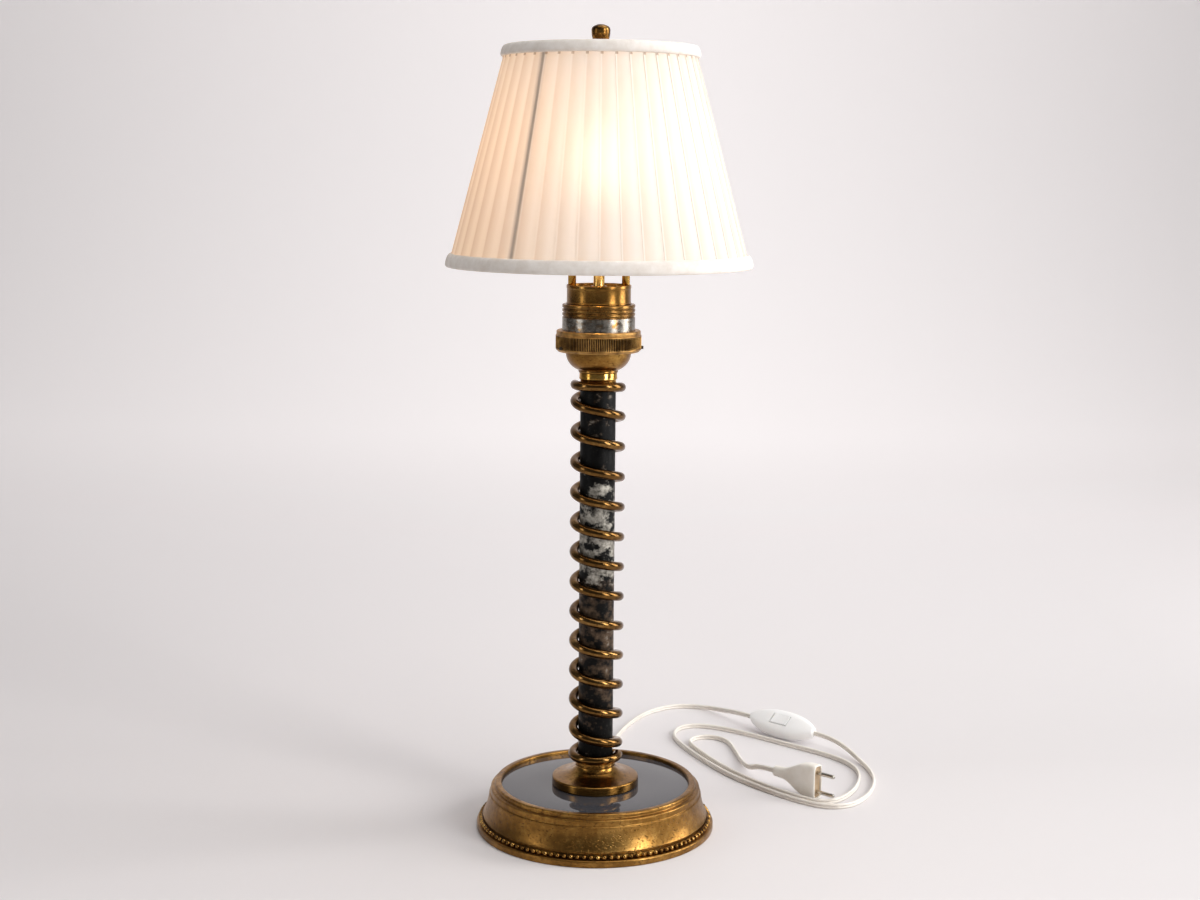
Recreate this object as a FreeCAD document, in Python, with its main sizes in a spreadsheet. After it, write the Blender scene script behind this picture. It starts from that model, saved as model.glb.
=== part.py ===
import FreeCAD, Part
import Sketcher
import math
import os
from FreeCAD import Placement, Rotation, Vector

# Candlestick lamp: a beaded brass base with a black glass top, an iron column wound with a
# brass rod, a brass lampholder gallery with two support rods, and a pleated shade.
# Millimetres. +Z is up, the origin is under the column's axis at the level of the table.

doc = FreeCAD.newDocument("candlestick_lamp")

# ---------------------------------------------------------------- driving dimensions
SIZES = {
    # base
    "base_radius": 110.0, "flange_height": 6.2, "flange_round": 1.2, "flange_width": 6.2,
    "foot_height": 12.6, "body_lean": 5.4, "shoulder_height": 32.5, "body_curve": 62.0,
    "step_inset": 1.3, "step_rise": 2.1, "lip_inset": 1.8, "lip_top": 43.0, "lip_round": 3.6,
    "lip_width": 9.6, "lip_chamfer": 1.5, "glass_top": 40.0, "glass_thickness": 4.0,
    "glass_fit": 0.3, "base_wall": 3.0, "web_thickness": 3.0, "web_hole_radius": 5.4,
    "bead_count": 112.0, "bead_radius": 2.0, "bead_offset": 2.6, "bead_fit": 0.3,
    "felt_thickness": 2.0, "plate_thickness": 1.5, "plate_fit": 0.3,
    "weight_inset": 9.0, "weight_taper": 4.0, "weight_bore_radius": 22.0, "weight_height": 22.0,
    "slot_width": 12.0,
    # collar, column and spiral
    "collar_radius": 40.0, "collar_rim": 8.5, "collar_edge": 1.5, "collar_flare": 8.4,
    "neck_radius": 17.8, "neck_top": 64.5, "neck_base": 57.0,
    "tube_radius": 16.0, "tube_wall": 2.0, "tube_seat": 46.0, "tube_top": 414.0, "tube_fit": 0.05,
    "rod_radius": 4.3, "coil_radius": 20.8, "coil_pitch": 27.7, "coil_turns": 13.5,
    "coil_flat_from": 0.32, "coil_flat_to": 0.82, "coil_seat": 0.3, "coil_start": 180.0,
    # pipe through the middle
    "pipe_radius": 5.0, "pipe_bore_radius": 4.0, "pipe_foot": 24.0, "pipe_top": 524.0,
    "nut_flats": 17.0, "nut_height": 4.0, "washer_radius": 11.0, "washer_thickness": 1.5,
    # lampholder gallery
    "ferrule_radius": 16.2, "ferrule_height": 14.0, "ferrule_spigot": 10.0,
    "cup_radius": 29.5, "cup_height": 15.5, "cup_curve": 15.0, "cup_wall": 1.6,
    "cup_boss_height": 2.0, "cup_flange_radius": 32.0,
    "ring_radius": 38.5, "ring_height": 19.0, "ring_edge": 1.2, "ring_bed": 2.4,
    "ring_foot_step": 1.6, "ring_top_step": 2.6,
    "flute_count": 84.0, "flute_depth": 0.8, "flute_width": 1.6,
    "barrel_radius": 32.7, "barrel_wall": 2.4, "barrel_height": 38.0, "groove_depth": 0.7,
    "groove_pitch": 3.6,
    "sleeve_radius": 29.0, "sleeve_wall": 1.0, "sleeve_height": 17.0, "sleeve_recess": 4.0,
    "sleeve_seat": 4.5, "deck_thickness": 2.0, "deck_fit": 0.1, "pipe_fit": 0.1, "thread_fit": 0.03,
    "support_radius": 3.6, "support_offset": 24.0, "support_thread": 1.5, "support_end": 4.0,
    "small_nut_flats": 5.5, "small_nut_height": 3.0, "deck_nut_flats": 14.0,
    "stud_nut_flats": 10.0, "stud_nut_height": 3.2,
    "bridge_drop": 13.3, "bridge_thickness": 4.0, "bridge_width": 12.0, "bridge_overhang": 6.0,
    "screw_radius": 1.5, "screw_length": 7.0, "screw_proud": 1.8, "screw_fit": 0.05,
    "screw_rise": 3.9,
    # socket and bulb
    "socket_foot": 519.0, "socket_radius": 14.0, "socket_height": 54.0, "socket_wall": 1.5,
    "bulb_radius": 17.5, "bulb_height": 68.0, "cap_radius": 6.9, "cap_height": 22.0,
    "tip_flat": 0.8,
    # shade
    "shade_top_radius": 82.4, "shade_bottom_radius": 134.4, "shade_foot": 518.5,
    "shade_height": 193.0, "pleat_count": 44.0, "pleat_depth": 1.3, "cloth_thickness": 0.8,
    "top_trim_height": 10.2, "bottom_trim_height": 12.0, "trim_thickness": 1.7,
    "hoop_radius": 1.6, "rib_radius": 1.2, "rib_count": 4.0, "rib_angle": 34.0,
    "hub_radius": 13.0, "hub_thickness": 2.0, "hub_drop": 6.2, "stud_radius": 3.0, "stud_shoulder": 5.5,
    "hub_fit": 0.2, "arm_radius": 1.0, "wire_seat": 0.3,
    "finial_radius": 8.3, "finial_height": 22.5, "finial_neck": 4.4,
    # cord, switch and plug
    "cord_diameter": 5.4, "cord_fit": 0.4, "cord_straight": 20.0, "exit_height": 19.0,
    "bush_radius": 4.6, "bush_flange": 6.6, "bush_inside": 7.0, "bush_flange_thickness": 2.4,
    "bush_tail": 13.0, "bush_tip": 3.9,
    "switch_length": 84.0, "switch_width": 29.0, "switch_lower": 7.5, "switch_upper": 8.0,
    "switch_mouth": 8.0, "switch_tilt": 38.0, "switch_heading": -43.4,
    "rocker_length": 21.0, "rocker_width": 11.0, "rocker_gap": 0.9, "rocker_pin": 1.0,
    "plug_length": 52.0, "plug_height": 35.0, "plug_thickness": 14.0, "plug_neck": 9.0,
    "plug_heading": -42.0, "pin_radius": 2.0, "pin_length": 19.0, "pin_spacing": 19.0,
    "pin_root_radius": 1.5, "pin_root": 9.0, "pin_shoulder": 0.5,
}

sheet = doc.addObject("Spreadsheet::Sheet", "sizes")
for row, (name, value) in enumerate(SIZES.items(), start=1):
    sheet.set("A%d" % row, name)
    sheet.set("B%d" % row, repr(value))
    sheet.setAlias("B%d" % row, name)
doc.recompute()


def size(name):
    """One driving dimension, read from the sheet."""
    return float(getattr(sheet, name))


def bound(text):
    """An expression over the sheet's aliases, as the document writes it."""
    words = sorted(SIZES, key=len, reverse=True)
    result = ""
    position = 0
    while position < len(text):
        for word in words:
            if text.startswith(word, position):
                result += "sizes." + word
                position += len(word)
                break
        else:
            result += text[position]
            position += 1
    return result


def value_of(text):
    """What an expression over the sheet's aliases comes to, in millimetres."""
    found = sheet.evalExpression(bound(text))
    return float(getattr(found, "Value", found))


# Radii of the base, worked inwards from its edge.
FOOT = "base_radius - flange_width"
SHOULDER = FOOT + " - body_lean"
STEP = SHOULDER + " - step_inset"
NECKING = STEP + " - step_inset"
LIP = SHOULDER + " - lip_inset"
GLASS = LIP + " - lip_width"


# ---------------------------------------------------------------- helpers
def origin_item(body, role):
    """The body's own plane or axis of that role."""
    return [item for item in body.Origin.OriginFeatures if item.Role == role][0]


def new_body(label):
    body = doc.addObject("PartDesign::Body", label)
    body.Label = label
    return body


def new_sketch(body, role, name):
    sketch = body.newObject("Sketcher::SketchObject", name)
    sketch.AttachmentSupport = (origin_item(body, role), [""])
    sketch.MapMode = "FlatFace"
    return sketch


def bulged_edge(first, last, radius):
    """The arc from first to last with that radius: positive bends left of the way, negative right."""
    chord = last - first
    middle = (first + last) * 0.5
    left = Vector(-chord.y, chord.x, 0)
    left.normalize()
    rise = math.sqrt(max(radius * radius - chord.Length ** 2 / 4, 0.0))
    centre = middle + left * (rise if radius > 0 else -rise)
    reach = abs(radius)
    outward = (middle - centre)
    if outward.Length < 1e-9:
        outward = left * (-1 if radius > 0 else 1)
    outward.normalize()
    return Part.Arc(first, centre + outward * reach, last)


def nearer_end(sketch, edge, point):
    """Which end of the edge lies at the point: 1 for its start, 2 for its end."""
    gaps = [(sketch.getPoint(edge, end) - point).Length for end in (1, 2)]
    return 1 if gaps[0] < gaps[1] else 2


def outline(sketch, corners):
    """A closed outline. Each corner is (x, y) or (x, y, radius): the radius bends the edge that
    reaches it. All of them are expressions over the sheet, and so are the sketch's constraints."""
    points = [Vector(value_of(corner[0]), value_of(corner[1]), 0) for corner in corners]
    edges = []
    for index, corner in enumerate(corners):
        first = points[index - 1]
        last = points[index]
        if len(corner) == 3:
            arc = bulged_edge(first, last, value_of(corner[2]))
            edges.append(sketch.addGeometry(arc, False))
        else:
            edges.append(sketch.addGeometry(Part.LineSegment(first, last), False))
    for index, edge in enumerate(edges):
        following = edges[(index + 1) % len(edges)]
        end = nearer_end(sketch, edge, points[index])
        start = nearer_end(sketch, following, points[index])
        sketch.addConstraint(Sketcher.Constraint("Coincident", edge, end, following, start))
        for axis, kind, base in ((0, "DistanceX", -2), (1, "DistanceY", -1)):
            text = corners[index][axis]
            if text == "0":
                sketch.addConstraint(Sketcher.Constraint("PointOnObject", edge, end, base))
                continue
            at = points[index][axis]
            number = sketch.addConstraint(Sketcher.Constraint(kind, -1, 1, edge, end, at))
            sketch.setExpression("Constraints[%d]" % number, bound(text))
    for index, corner in enumerate(corners):
        if len(corner) == 3:
            radius = abs(value_of(corner[2]))
            number = sketch.addConstraint(Sketcher.Constraint("Radius", edges[index], radius))
            sketch.setExpression("Constraints[%d]" % number, bound("abs(" + corner[2] + ")"))


def turned(label, corners):
    """A piece turned on the lathe: the outline in the XZ plane, revolved about Z."""
    body = new_body(label)
    sketch = new_sketch(body, "XZ_Plane", label + "_profile")
    outline(sketch, corners)
    revolution = body.newObject("PartDesign::Revolution", label + "_turning")
    revolution.Profile = sketch
    revolution.ReferenceAxis = (sketch, ["V_Axis"])
    revolution.Angle = 360.0
    sketch.Visibility = False
    doc.recompute()
    return body


def washer(label, inner, outer, low, high):
    """A flat ring or disc between two heights."""
    return turned(label, [(outer, low), (outer, high), (inner, high), (inner, low)])


def cylinder(label, radius, height, base, axis=Vector(0, 0, 1)):
    piece = doc.addObject("Part::Cylinder", label)
    piece.Label = label
    piece.setExpression("Radius", bound(radius))
    piece.setExpression("Height", bound(height))
    piece.Placement = Placement(Vector(0, 0, 0), Rotation(Vector(0, 0, 1), axis))
    for letter, text in zip("xyz", base):
        piece.setExpression("Placement.Base." + letter, bound(text))
    return piece


def feature(label, shape, placement=None):
    """A piece whose shape is worked out here in code."""
    piece = doc.addObject("Part::Feature", label)
    piece.Label = label
    piece.Shape = shape
    if placement is not None:
        piece.Placement = placement
    return piece


def hexagon_nut(flats, bore, low, height, x=0.0):
    """A plain hexagon nut with its bore, its lower face at low and two flats square to X."""
    reach = flats / 2 / math.cos(math.radians(30))
    turns = [math.radians(30 + 60 * k) for k in range(7)]
    corners = [Vector(x + reach * math.cos(turn), reach * math.sin(turn), low) for turn in turns]
    prism = Part.Face(Part.makePolygon(corners)).extrude(Vector(0, 0, height))
    return prism.cut(Part.makeCylinder(bore, height, Vector(x, 0, low)))


# ---------------------------------------------------------------- base
def make_shell():
    """The turned shell of the base: flange, hollow curve, two steps, lip and the web for the glass."""
    web_top = "glass_top - glass_thickness"
    web_low = web_top + " - web_thickness"
    step_one = "shoulder_height + step_rise"
    blank = turned("base_shell_blank", [
        (FOOT + " - base_wall", "0"),
        ("base_radius", "0"),
        ("base_radius", "flange_height - flange_round"),
        ("base_radius - flange_round", "flange_height", "flange_round"),
        (FOOT, "flange_height"),
        (FOOT, "foot_height"),
        (SHOULDER, "shoulder_height", "-body_curve"),
        (STEP, "shoulder_height"),
        (STEP, step_one),
        (NECKING, step_one),
        (NECKING, step_one + " + step_inset"),
        (LIP + " - lip_round", "lip_top", "lip_round * 1.15"),
        (GLASS + " + lip_chamfer", "lip_top"),
        (GLASS, "lip_top - lip_chamfer", "lip_chamfer"),
        (GLASS, web_top),
        ("web_hole_radius", web_top),
        ("web_hole_radius", web_low),
        (NECKING + " - base_wall", web_low),
        (FOOT + " - base_wall", "foot_height"),
    ])
    hole = cylinder("cord_hole", "bush_radius", "bush_inside * 4",
                    ("0", FOOT + " - bush_inside * 2", "exit_height"), Vector(0, 1, 0))
    shell = doc.addObject("Part::Cut", "base_shell")
    shell.Label = "base_shell"
    shell.Base = blank
    shell.Tool = hole


def beaded_ring(height, swell):
    """One closed outline of the bead row: swell is how far the beads stand out at that height."""
    count = int(round(size("bead_count")))
    valley = value_of(FOOT) + size("bead_offset") - size("bead_radius") / 2
    corners = []
    for index in range(count):
        for share, rise in ((0.0, 0.0), (0.3, 1.0), (0.7, 1.0)):
            angle = 2 * math.pi * (index + share) / count
            reach = valley + swell * rise
            corners.append(Vector(reach * math.cos(angle), reach * math.sin(angle), height))
    return Part.makePolygon(corners + [corners[0]])


def make_beads():
    """The beaded wire that lies on the flange round the foot: one ring, faceted into beads."""
    radius = size("bead_radius")
    middle = size("flange_height") + size("bead_fit") + radius
    levels = []
    for share in (-1.0, -0.6, 0.0, 0.6, 1.0):
        swell = radius * (0.5 + math.sqrt(1 - share * share))
        levels.append(beaded_ring(middle + radius * share, swell))
    ring = Part.makeLoft(levels, True, True)
    bore = Part.makeCylinder(value_of(FOOT) + size("bead_fit"), 4 * radius,
                             Vector(0, 0, middle - 2 * radius))
    feature("bead_border", ring.cut(bore))


def make_base():
    make_shell()
    make_beads()
    web_top = "glass_top - glass_thickness"
    washer("glass_disc", "web_hole_radius", GLASS + " - glass_fit", web_top, "glass_top")
    inside = FOOT + " - base_wall - plate_fit"
    washer("felt_pad", "0", inside, "0", "felt_thickness")
    plate_top = "felt_thickness + plate_thickness"
    washer("bottom_plate", "weight_bore_radius", inside, "felt_thickness", plate_top)
    weight_radius = GLASS + " - weight_inset"
    blank = turned("weight_blank", [
        (weight_radius, plate_top),
        (weight_radius + " - weight_taper", plate_top + " + weight_height"),
        ("weight_bore_radius", plate_top + " + weight_height"),
        ("weight_bore_radius", plate_top),
    ])
    slot = doc.addObject("Part::Box", "weight_slot")
    slot.setExpression("Length", bound("slot_width"))
    slot.setExpression("Width", bound(weight_radius))
    slot.setExpression("Height", bound("weight_height"))
    slot.setExpression("Placement.Base.x", bound("-slot_width / 2"))
    slot.setExpression("Placement.Base.y", bound("weight_bore_radius / 2"))
    slot.setExpression("Placement.Base.z", bound("exit_height - slot_width / 2"))
    weight = doc.addObject("Part::Cut", "base_weight")
    weight.Label = "base_weight"
    weight.Base = blank
    weight.Tool = slot


def make_foot():
    """The turned collar that clamps the glass, and the pipe's nut and washer under the web."""
    rim_top = "glass_top + collar_rim"
    turned("foot_collar", [
        ("pipe_radius + pipe_fit", "glass_top"),
        ("collar_radius - collar_edge", "glass_top"),
        ("collar_radius", "glass_top + collar_edge", "collar_edge"),
        ("collar_radius", rim_top + " - collar_edge"),
        ("collar_radius - collar_edge", rim_top, "collar_edge"),
        ("neck_radius + collar_flare * 0.35", "neck_base - 2.5", "-22"),
        ("neck_radius", "neck_base", "-2.9"),
        ("neck_radius", "neck_top"),
        ("tube_radius + tube_fit", "neck_top"),
        ("tube_radius + tube_fit", "tube_seat"),
        ("pipe_radius + pipe_fit", "tube_seat"),
    ])
    web_low = "glass_top - glass_thickness - web_thickness"
    washer("foot_washer", "pipe_radius + pipe_fit", "washer_radius", web_low + " - washer_thickness", web_low)
    low = value_of(web_low + " - washer_thickness - nut_height")
    feature("foot_nut", hexagon_nut(size("nut_flats"), size("pipe_radius") + size("thread_fit"), low,
                                    size("nut_height")))


# ---------------------------------------------------------------- column
def fallen(turn):
    """How many pitches the rod has fallen after so many turns: none on the level ring at its
    start, then an evenly growing pitch, so the tangent never jumps."""
    start = size("coil_flat_from")
    full = size("coil_flat_to")
    if turn <= start:
        return 0.0
    if turn <= full:
        return (turn - start) ** 2 / 2 / (full - start)
    return turn - (start + full) / 2


def helix_point(turn, low):
    """The rod's centre line, from the level ring at the top to the one at the foot."""
    turns = size("coil_turns")
    whole = turns - size("coil_flat_from") - size("coil_flat_to")
    drop = fallen(turn) if turn <= turns / 2 else whole - fallen(turns - turn)
    angle = math.radians(size("coil_start") + 360 * turn)
    reach = size("coil_radius")
    return Vector(reach * math.cos(angle), reach * math.sin(angle),
                  low + (whole - drop) * size("coil_pitch"))


def biarc(first, first_way, last, last_way):
    """Two arcs that leave first along first_way and reach last along last_way."""
    span = last - first
    both = first_way + last_way
    spare = 4 - both.dot(both)
    along = span.dot(both)
    reach = (math.sqrt(along * along + spare * span.dot(span)) - along) / spare
    near = first + first_way * reach
    far = last - last_way * reach
    joint = (near + far) * 0.5
    arcs = []
    for start, corner, end in ((first, near, joint), (joint, far, last)):
        middle = (start + end) * 0.5
        half = (end - start).Length / 2
        rise = (corner - middle).Length
        radius = reach * half / rise
        sagitta = radius * (1 - half / reach)
        arcs.append(Part.Arc(start, middle + (corner - middle) * (sagitta / rise), end))
    return arcs, reach


def make_spiral():
    """The brass rod wound about the column, left-handed, as one unbroken tube."""
    lean = size("coil_radius") - size("neck_radius")
    seat = math.sqrt(size("rod_radius") ** 2 - lean ** 2) + size("coil_seat")
    low = size("neck_top") + seat
    step = 0.25
    count = int(round(size("coil_turns") / step))
    nudge = 1e-4
    arcs = []
    for index in range(count):
        ends = []
        for turn in (index * step, (index + 1) * step):
            way = helix_point(turn + nudge, low) - helix_point(turn - nudge, low)
            way.normalize()
            ends += [helix_point(turn, low), way]
        arcs += biarc(*ends)[0]
    path = Part.Wire([arc.toShape() for arc in arcs])
    start = arcs[0].value(arcs[0].FirstParameter)
    way = arcs[0].tangent(arcs[0].FirstParameter)[0]
    sides = 8
    even = 0.96
    reach = size("rod_radius") / math.cos(math.pi / sides) * even
    across = Vector(0, 0, 1)
    beside = way.cross(across)
    turns = [2 * math.pi * (k + 0.5) / sides for k in range(sides + 1)]
    ring = [start + across * (reach * math.cos(angle)) + beside * (reach * math.sin(angle))
            for angle in turns]
    rod = path.makePipeShell([Part.makePolygon(ring)], True, False)
    feature("spiral_rod", rod)
    samples = 24
    line = [helix_point(k / samples, low) for k in range(int(size("coil_turns") * samples) + 1)]
    least = min((line[a] - line[b]).Length for a in range(len(line))
                for b in range(a + samples // 2, len(line)))
    print("spiral rod: length %.0f mm, least gap to itself %.2f mm"
          % (path.Length, least - 2 * size("rod_radius")))


def make_column():
    washer("column_tube", "tube_radius - tube_wall", "tube_radius", "tube_seat", "tube_top")
    make_spiral()
    washer("threaded_pipe", "pipe_bore_radius", "pipe_radius", "pipe_foot", "pipe_top")
    spigot = "tube_radius - tube_wall - tube_fit"
    turned("neck_ferrule", [
        ("pipe_radius + pipe_fit", "tube_top - ferrule_spigot"),
        (spigot, "tube_top - ferrule_spigot"),
        (spigot, "tube_top"),
        ("ferrule_radius", "tube_top"),
        ("ferrule_radius", "tube_top + ferrule_height"),
        ("pipe_radius + pipe_fit", "tube_top + ferrule_height"),
    ])


# ---------------------------------------------------------------- lampholder gallery
CUP_FOOT = "tube_top + ferrule_height"
CUP_TOP = "tube_top + ferrule_height + cup_boss_height + cup_height"
RING_LOW = "tube_top + ferrule_height + cup_height"
BARREL_LOW = "tube_top + ferrule_height + cup_height + ring_bed + cup_wall + 0.4"
BARREL_TOP = BARREL_LOW + " + barrel_height"
DECK_LOW = BARREL_TOP + " + sleeve_height - sleeve_recess - deck_thickness"
DECK_TOP = BARREL_TOP + " + sleeve_height - sleeve_recess"


def make_cup():
    boss = CUP_FOOT + " + cup_boss_height"
    flange_low = RING_LOW + " + ring_bed + 0.2"
    turned("holder_cup", [
        ("pipe_radius + pipe_fit", CUP_FOOT),
        ("ferrule_radius + 0.6", CUP_FOOT),
        ("ferrule_radius + 0.6", boss),
        ("cup_radius", RING_LOW, "cup_curve"),
        ("cup_radius", flange_low),
        ("cup_flange_radius", flange_low),
        ("cup_flange_radius", flange_low + " + cup_wall"),
        ("cup_radius - cup_wall", flange_low + " + cup_wall"),
        ("cup_radius - cup_wall", RING_LOW),
        ("ferrule_radius", boss + " + cup_wall", "-cup_curve + cup_wall"),
        ("pipe_radius + pipe_fit", boss + " + cup_wall"),
    ])


def make_ring():
    """The fluted union ring: it turns on the barrel and holds the cup's flange from below."""
    ring_top = RING_LOW + " + ring_height"
    body = turned("ring_blank", [
        ("cup_radius + 0.4", RING_LOW),
        ("ring_radius - ring_edge * 2", RING_LOW),
        ("ring_radius - ring_edge * 2", RING_LOW + " + ring_foot_step"),
        ("ring_radius", RING_LOW + " + ring_foot_step + ring_edge"),
        ("ring_radius", ring_top + " - ring_top_step - ring_edge"),
        ("ring_radius - ring_edge", ring_top + " - ring_top_step", "ring_edge"),
        ("barrel_radius + 2.2", ring_top),
        ("barrel_radius + 0.3", ring_top),
        ("barrel_radius + 0.3", RING_LOW + " + ring_bed"),
        ("cup_radius + 0.4", RING_LOW + " + ring_bed"),
    ])
    sketch = new_sketch(body, "XY_Plane", "flute_profile")
    outline(sketch, [
        ("ring_radius + 1", "-flute_width"),
        ("ring_radius + 1", "flute_width"),
        ("ring_radius - flute_depth", "0"),
    ])
    sketch.setExpression("AttachmentOffset.Base.z", bound(RING_LOW + " + ring_foot_step + ring_edge * 2"))
    pocket = body.newObject("PartDesign::Pocket", "flute")
    pocket.Profile = sketch
    pocket.Reversed = True
    pocket.setExpression("Length", bound("ring_height - ring_foot_step - ring_top_step - ring_edge * 4"))
    doc.recompute()
    pattern = body.newObject("PartDesign::PolarPattern", "flutes")
    pattern.Originals = [pocket]
    pattern.Axis = (origin_item(body, "Z_Axis"), [""])
    pattern.Angle = 360
    pattern.setExpression("Occurrences", bound("flute_count"))
    body.Tip = pattern
    doc.recompute()
    holes = doc.addObject("Part::Feature", "screw_holes")
    holes.Shape = Part.makeCompound(ring_screws(size("screw_fit")))
    ring = doc.addObject("Part::Cut", "fluted_ring")
    ring.Label = "fluted_ring"
    ring.Base = body
    ring.Tool = holes
    feature("ring_screws", Part.makeCompound(ring_screws(0.0)))


SCREW_ANGLES = (-4.0, 212.0)


def ring_screws(extra):
    """The two small set screws low in the ring, or with extra radius the holes for them."""
    screws = []
    for angle in SCREW_ANGLES:
        way = Vector(math.cos(math.radians(angle)), math.sin(math.radians(angle)), 0)
        foot = way * (size("ring_radius") + size("screw_proud") - size("screw_length"))
        foot.z = value_of(RING_LOW) + size("screw_rise")
        screws.append(Part.makeCylinder(size("screw_radius") + extra, size("screw_length"), foot, way))
    return screws


def make_gallery():
    make_cup()
    make_ring()
    inner = "barrel_radius - barrel_wall"
    grooves = []
    for index in (3, 2, 1):
        middle = BARREL_TOP + " - groove_pitch * %d" % index
        grooves += [("barrel_radius", middle + " - groove_depth"),
                    ("barrel_radius - groove_depth", middle),
                    ("barrel_radius", middle + " + groove_depth")]
    turned("holder_barrel", [
        (inner, BARREL_LOW),
        ("barrel_radius", BARREL_LOW),
    ] + grooves + [
        ("barrel_radius", BARREL_TOP + " - 0.8"),
        ("barrel_radius - 0.8", BARREL_TOP, "0.8"),
        ("sleeve_radius - sleeve_seat", BARREL_TOP),
        ("sleeve_radius - sleeve_seat", BARREL_TOP + " - barrel_wall"),
        (inner, BARREL_TOP + " - barrel_wall"),
    ])
    sleeve_top = BARREL_TOP + " + sleeve_height"
    inner = "sleeve_radius - sleeve_wall"
    turned("gallery_sleeve", [
        (inner + " - sleeve_wall", BARREL_TOP),
        ("sleeve_radius", BARREL_TOP),
        ("sleeve_radius", sleeve_top),
        (inner, sleeve_top),
        (inner, DECK_LOW),
        (inner + " - sleeve_wall", DECK_LOW),
    ])
    washer("deck_blank", "pipe_radius + pipe_fit", inner + " - deck_fit", DECK_LOW, DECK_TOP)
    holes = doc.addObject("Part::MultiFuse", "deck_holes")
    holes.Shapes = [cylinder("deck_hole_" + side, "support_thread + thread_fit", "deck_thickness",
                             (sign + "support_offset", "0", DECK_LOW))
                    for side, sign in (("left", "-"), ("right", ""))]
    deck = doc.addObject("Part::Cut", "gallery_deck")
    deck.Label = "gallery_deck"
    deck.Base = doc.getObject("deck_blank")
    deck.Tool = holes
    thread_low = DECK_LOW + " - support_end"
    for side, sign in (("left", "-"), ("right", "")):
        shaft = cylinder("support_shaft_" + side, "support_radius", BRIDGE_LOW + " - (" + DECK_TOP + ")",
                         (sign + "support_offset", "0", DECK_TOP))
        thread = cylinder("support_thread_" + side, "support_thread",
                          BRIDGE_TOP + " + support_end - (" + thread_low + ")",
                          (sign + "support_offset", "0", thread_low))
        rod = doc.addObject("Part::Fuse", "support_rod_" + side)
        rod.Label = "support_rod_" + side
        rod.Base = shaft
        rod.Tool = thread
    spread = size("support_offset")
    bore = size("support_thread") + size("thread_fit")
    height = size("small_nut_height")
    nuts = [hexagon_nut(size("small_nut_flats"), bore, low, height, x)
            for low in (value_of(DECK_LOW) - height, value_of(BRIDGE_TOP))
            for x in (-spread, spread)]
    feature("support_nuts", Part.makeCompound(nuts))
    feature("deck_nut", hexagon_nut(size("deck_nut_flats"), size("pipe_radius") + size("thread_fit"),
                                    value_of(DECK_TOP), height))


def make_bridge():
    """The bar across the two rods, with the stud that carries the shade."""
    length = 2 * (size("support_offset") + size("bridge_overhang"))
    width = size("bridge_width")
    thickness = size("bridge_thickness")
    low = value_of(BRIDGE_LOW)
    bar = Part.makeBox(length, width, thickness, Vector(-length / 2, -width / 2, low))
    upright = [edge for edge in bar.Edges if abs(edge.tangentAt(edge.FirstParameter).z) > 0.9]
    bar = bar.makeFillet(width * 0.45, upright)
    for x, thread in ((-size("support_offset"), "support_thread"), (0.0, "stud_radius"),
                      (size("support_offset"), "support_thread")):
        bar = bar.cut(Part.makeCylinder(size(thread) + size("thread_fit"), thickness,
                                        Vector(x, 0, low)))
    feature("top_bridge", bar)
    stud_low = BRIDGE_LOW + " - support_end"
    stud_top = FINIAL_LOW + " + finial_height * 0.55"
    turned("shade_stud", [
        ("0", stud_low),
        ("stud_radius", stud_low),
        ("stud_radius", BRIDGE_TOP),
        ("stud_shoulder", BRIDGE_TOP),
        ("stud_shoulder", HUB_LOW),
        ("stud_radius", HUB_LOW),
        ("stud_radius", stud_top),
        ("0", stud_top),
    ])
    height = size("stud_nut_height")
    feature("stud_nut", hexagon_nut(size("stud_nut_flats"), size("stud_radius") + size("thread_fit"),
                                    low - height, height))


# ---------------------------------------------------------------- socket and bulb
def make_socket():
    top = "socket_foot + socket_height"
    turned("socket_shell", [
        ("pipe_radius + pipe_fit", "socket_foot"),
        ("socket_radius - 5", "socket_foot"),
        ("socket_radius", "socket_foot + 7", "12"),
        ("socket_radius", top),
        ("socket_radius - socket_wall", top),
        ("socket_radius - socket_wall", "socket_foot + 8"),
        ("pipe_radius + pipe_fit", "socket_foot + 8"),
    ])
    turned("socket_core", [
        ("0", "socket_foot + 8.3"),
        ("socket_radius - socket_wall - 0.3", "socket_foot + 8.3"),
        ("socket_radius - socket_wall - 0.3", top + " - 1"),
        ("cap_radius + 1.3", top + " - 1"),
        ("cap_radius + 1.3", top + " - cap_height - 4"),
        ("0", top + " - cap_height - 4"),
    ])
    washer("screw_shell", "cap_radius + 0.4", "cap_radius + 1.2", top + " - cap_height - 2", top + " - 2")
    washer("centre_contact", "0", "3", top + " - cap_height - 4", top + " - cap_height - 3")


def make_bulb():
    seat = "socket_foot + socket_height - cap_height"
    neck = "socket_foot + socket_height"
    turned("bulb_cap", [
        ("0", seat + " - 2.6"),
        ("2.4", seat + " - 2.6"),
        ("cap_radius - 1", seat),
        ("cap_radius", seat + " + 2"),
        ("cap_radius", neck),
        ("cap_radius + 1.6", neck + " + 3"),
        ("0", neck + " + 3"),
    ])
    turned("bulb_glass", [
        ("0", neck + " + 3"),
        ("cap_radius + 1.4", neck + " + 3"),
        ("bulb_radius", neck + " + 3 + bulb_height * 0.42", "46"),
        ("3.2", neck + " + bulb_height", "50"),
        ("tip_flat", neck + " + 3 + bulb_height", "4.6"),
        ("0", neck + " + 3 + bulb_height"),
    ])


# ---------------------------------------------------------------- shade
HUB_LOW = "shade_foot + shade_height - hub_drop"
HUB_TOP = HUB_LOW + " + hub_thickness"
FINIAL_LOW = HUB_TOP + " + hub_fit"
BRIDGE_TOP = HUB_LOW + " - bridge_drop"
BRIDGE_LOW = BRIDGE_TOP + " - bridge_thickness"


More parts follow.
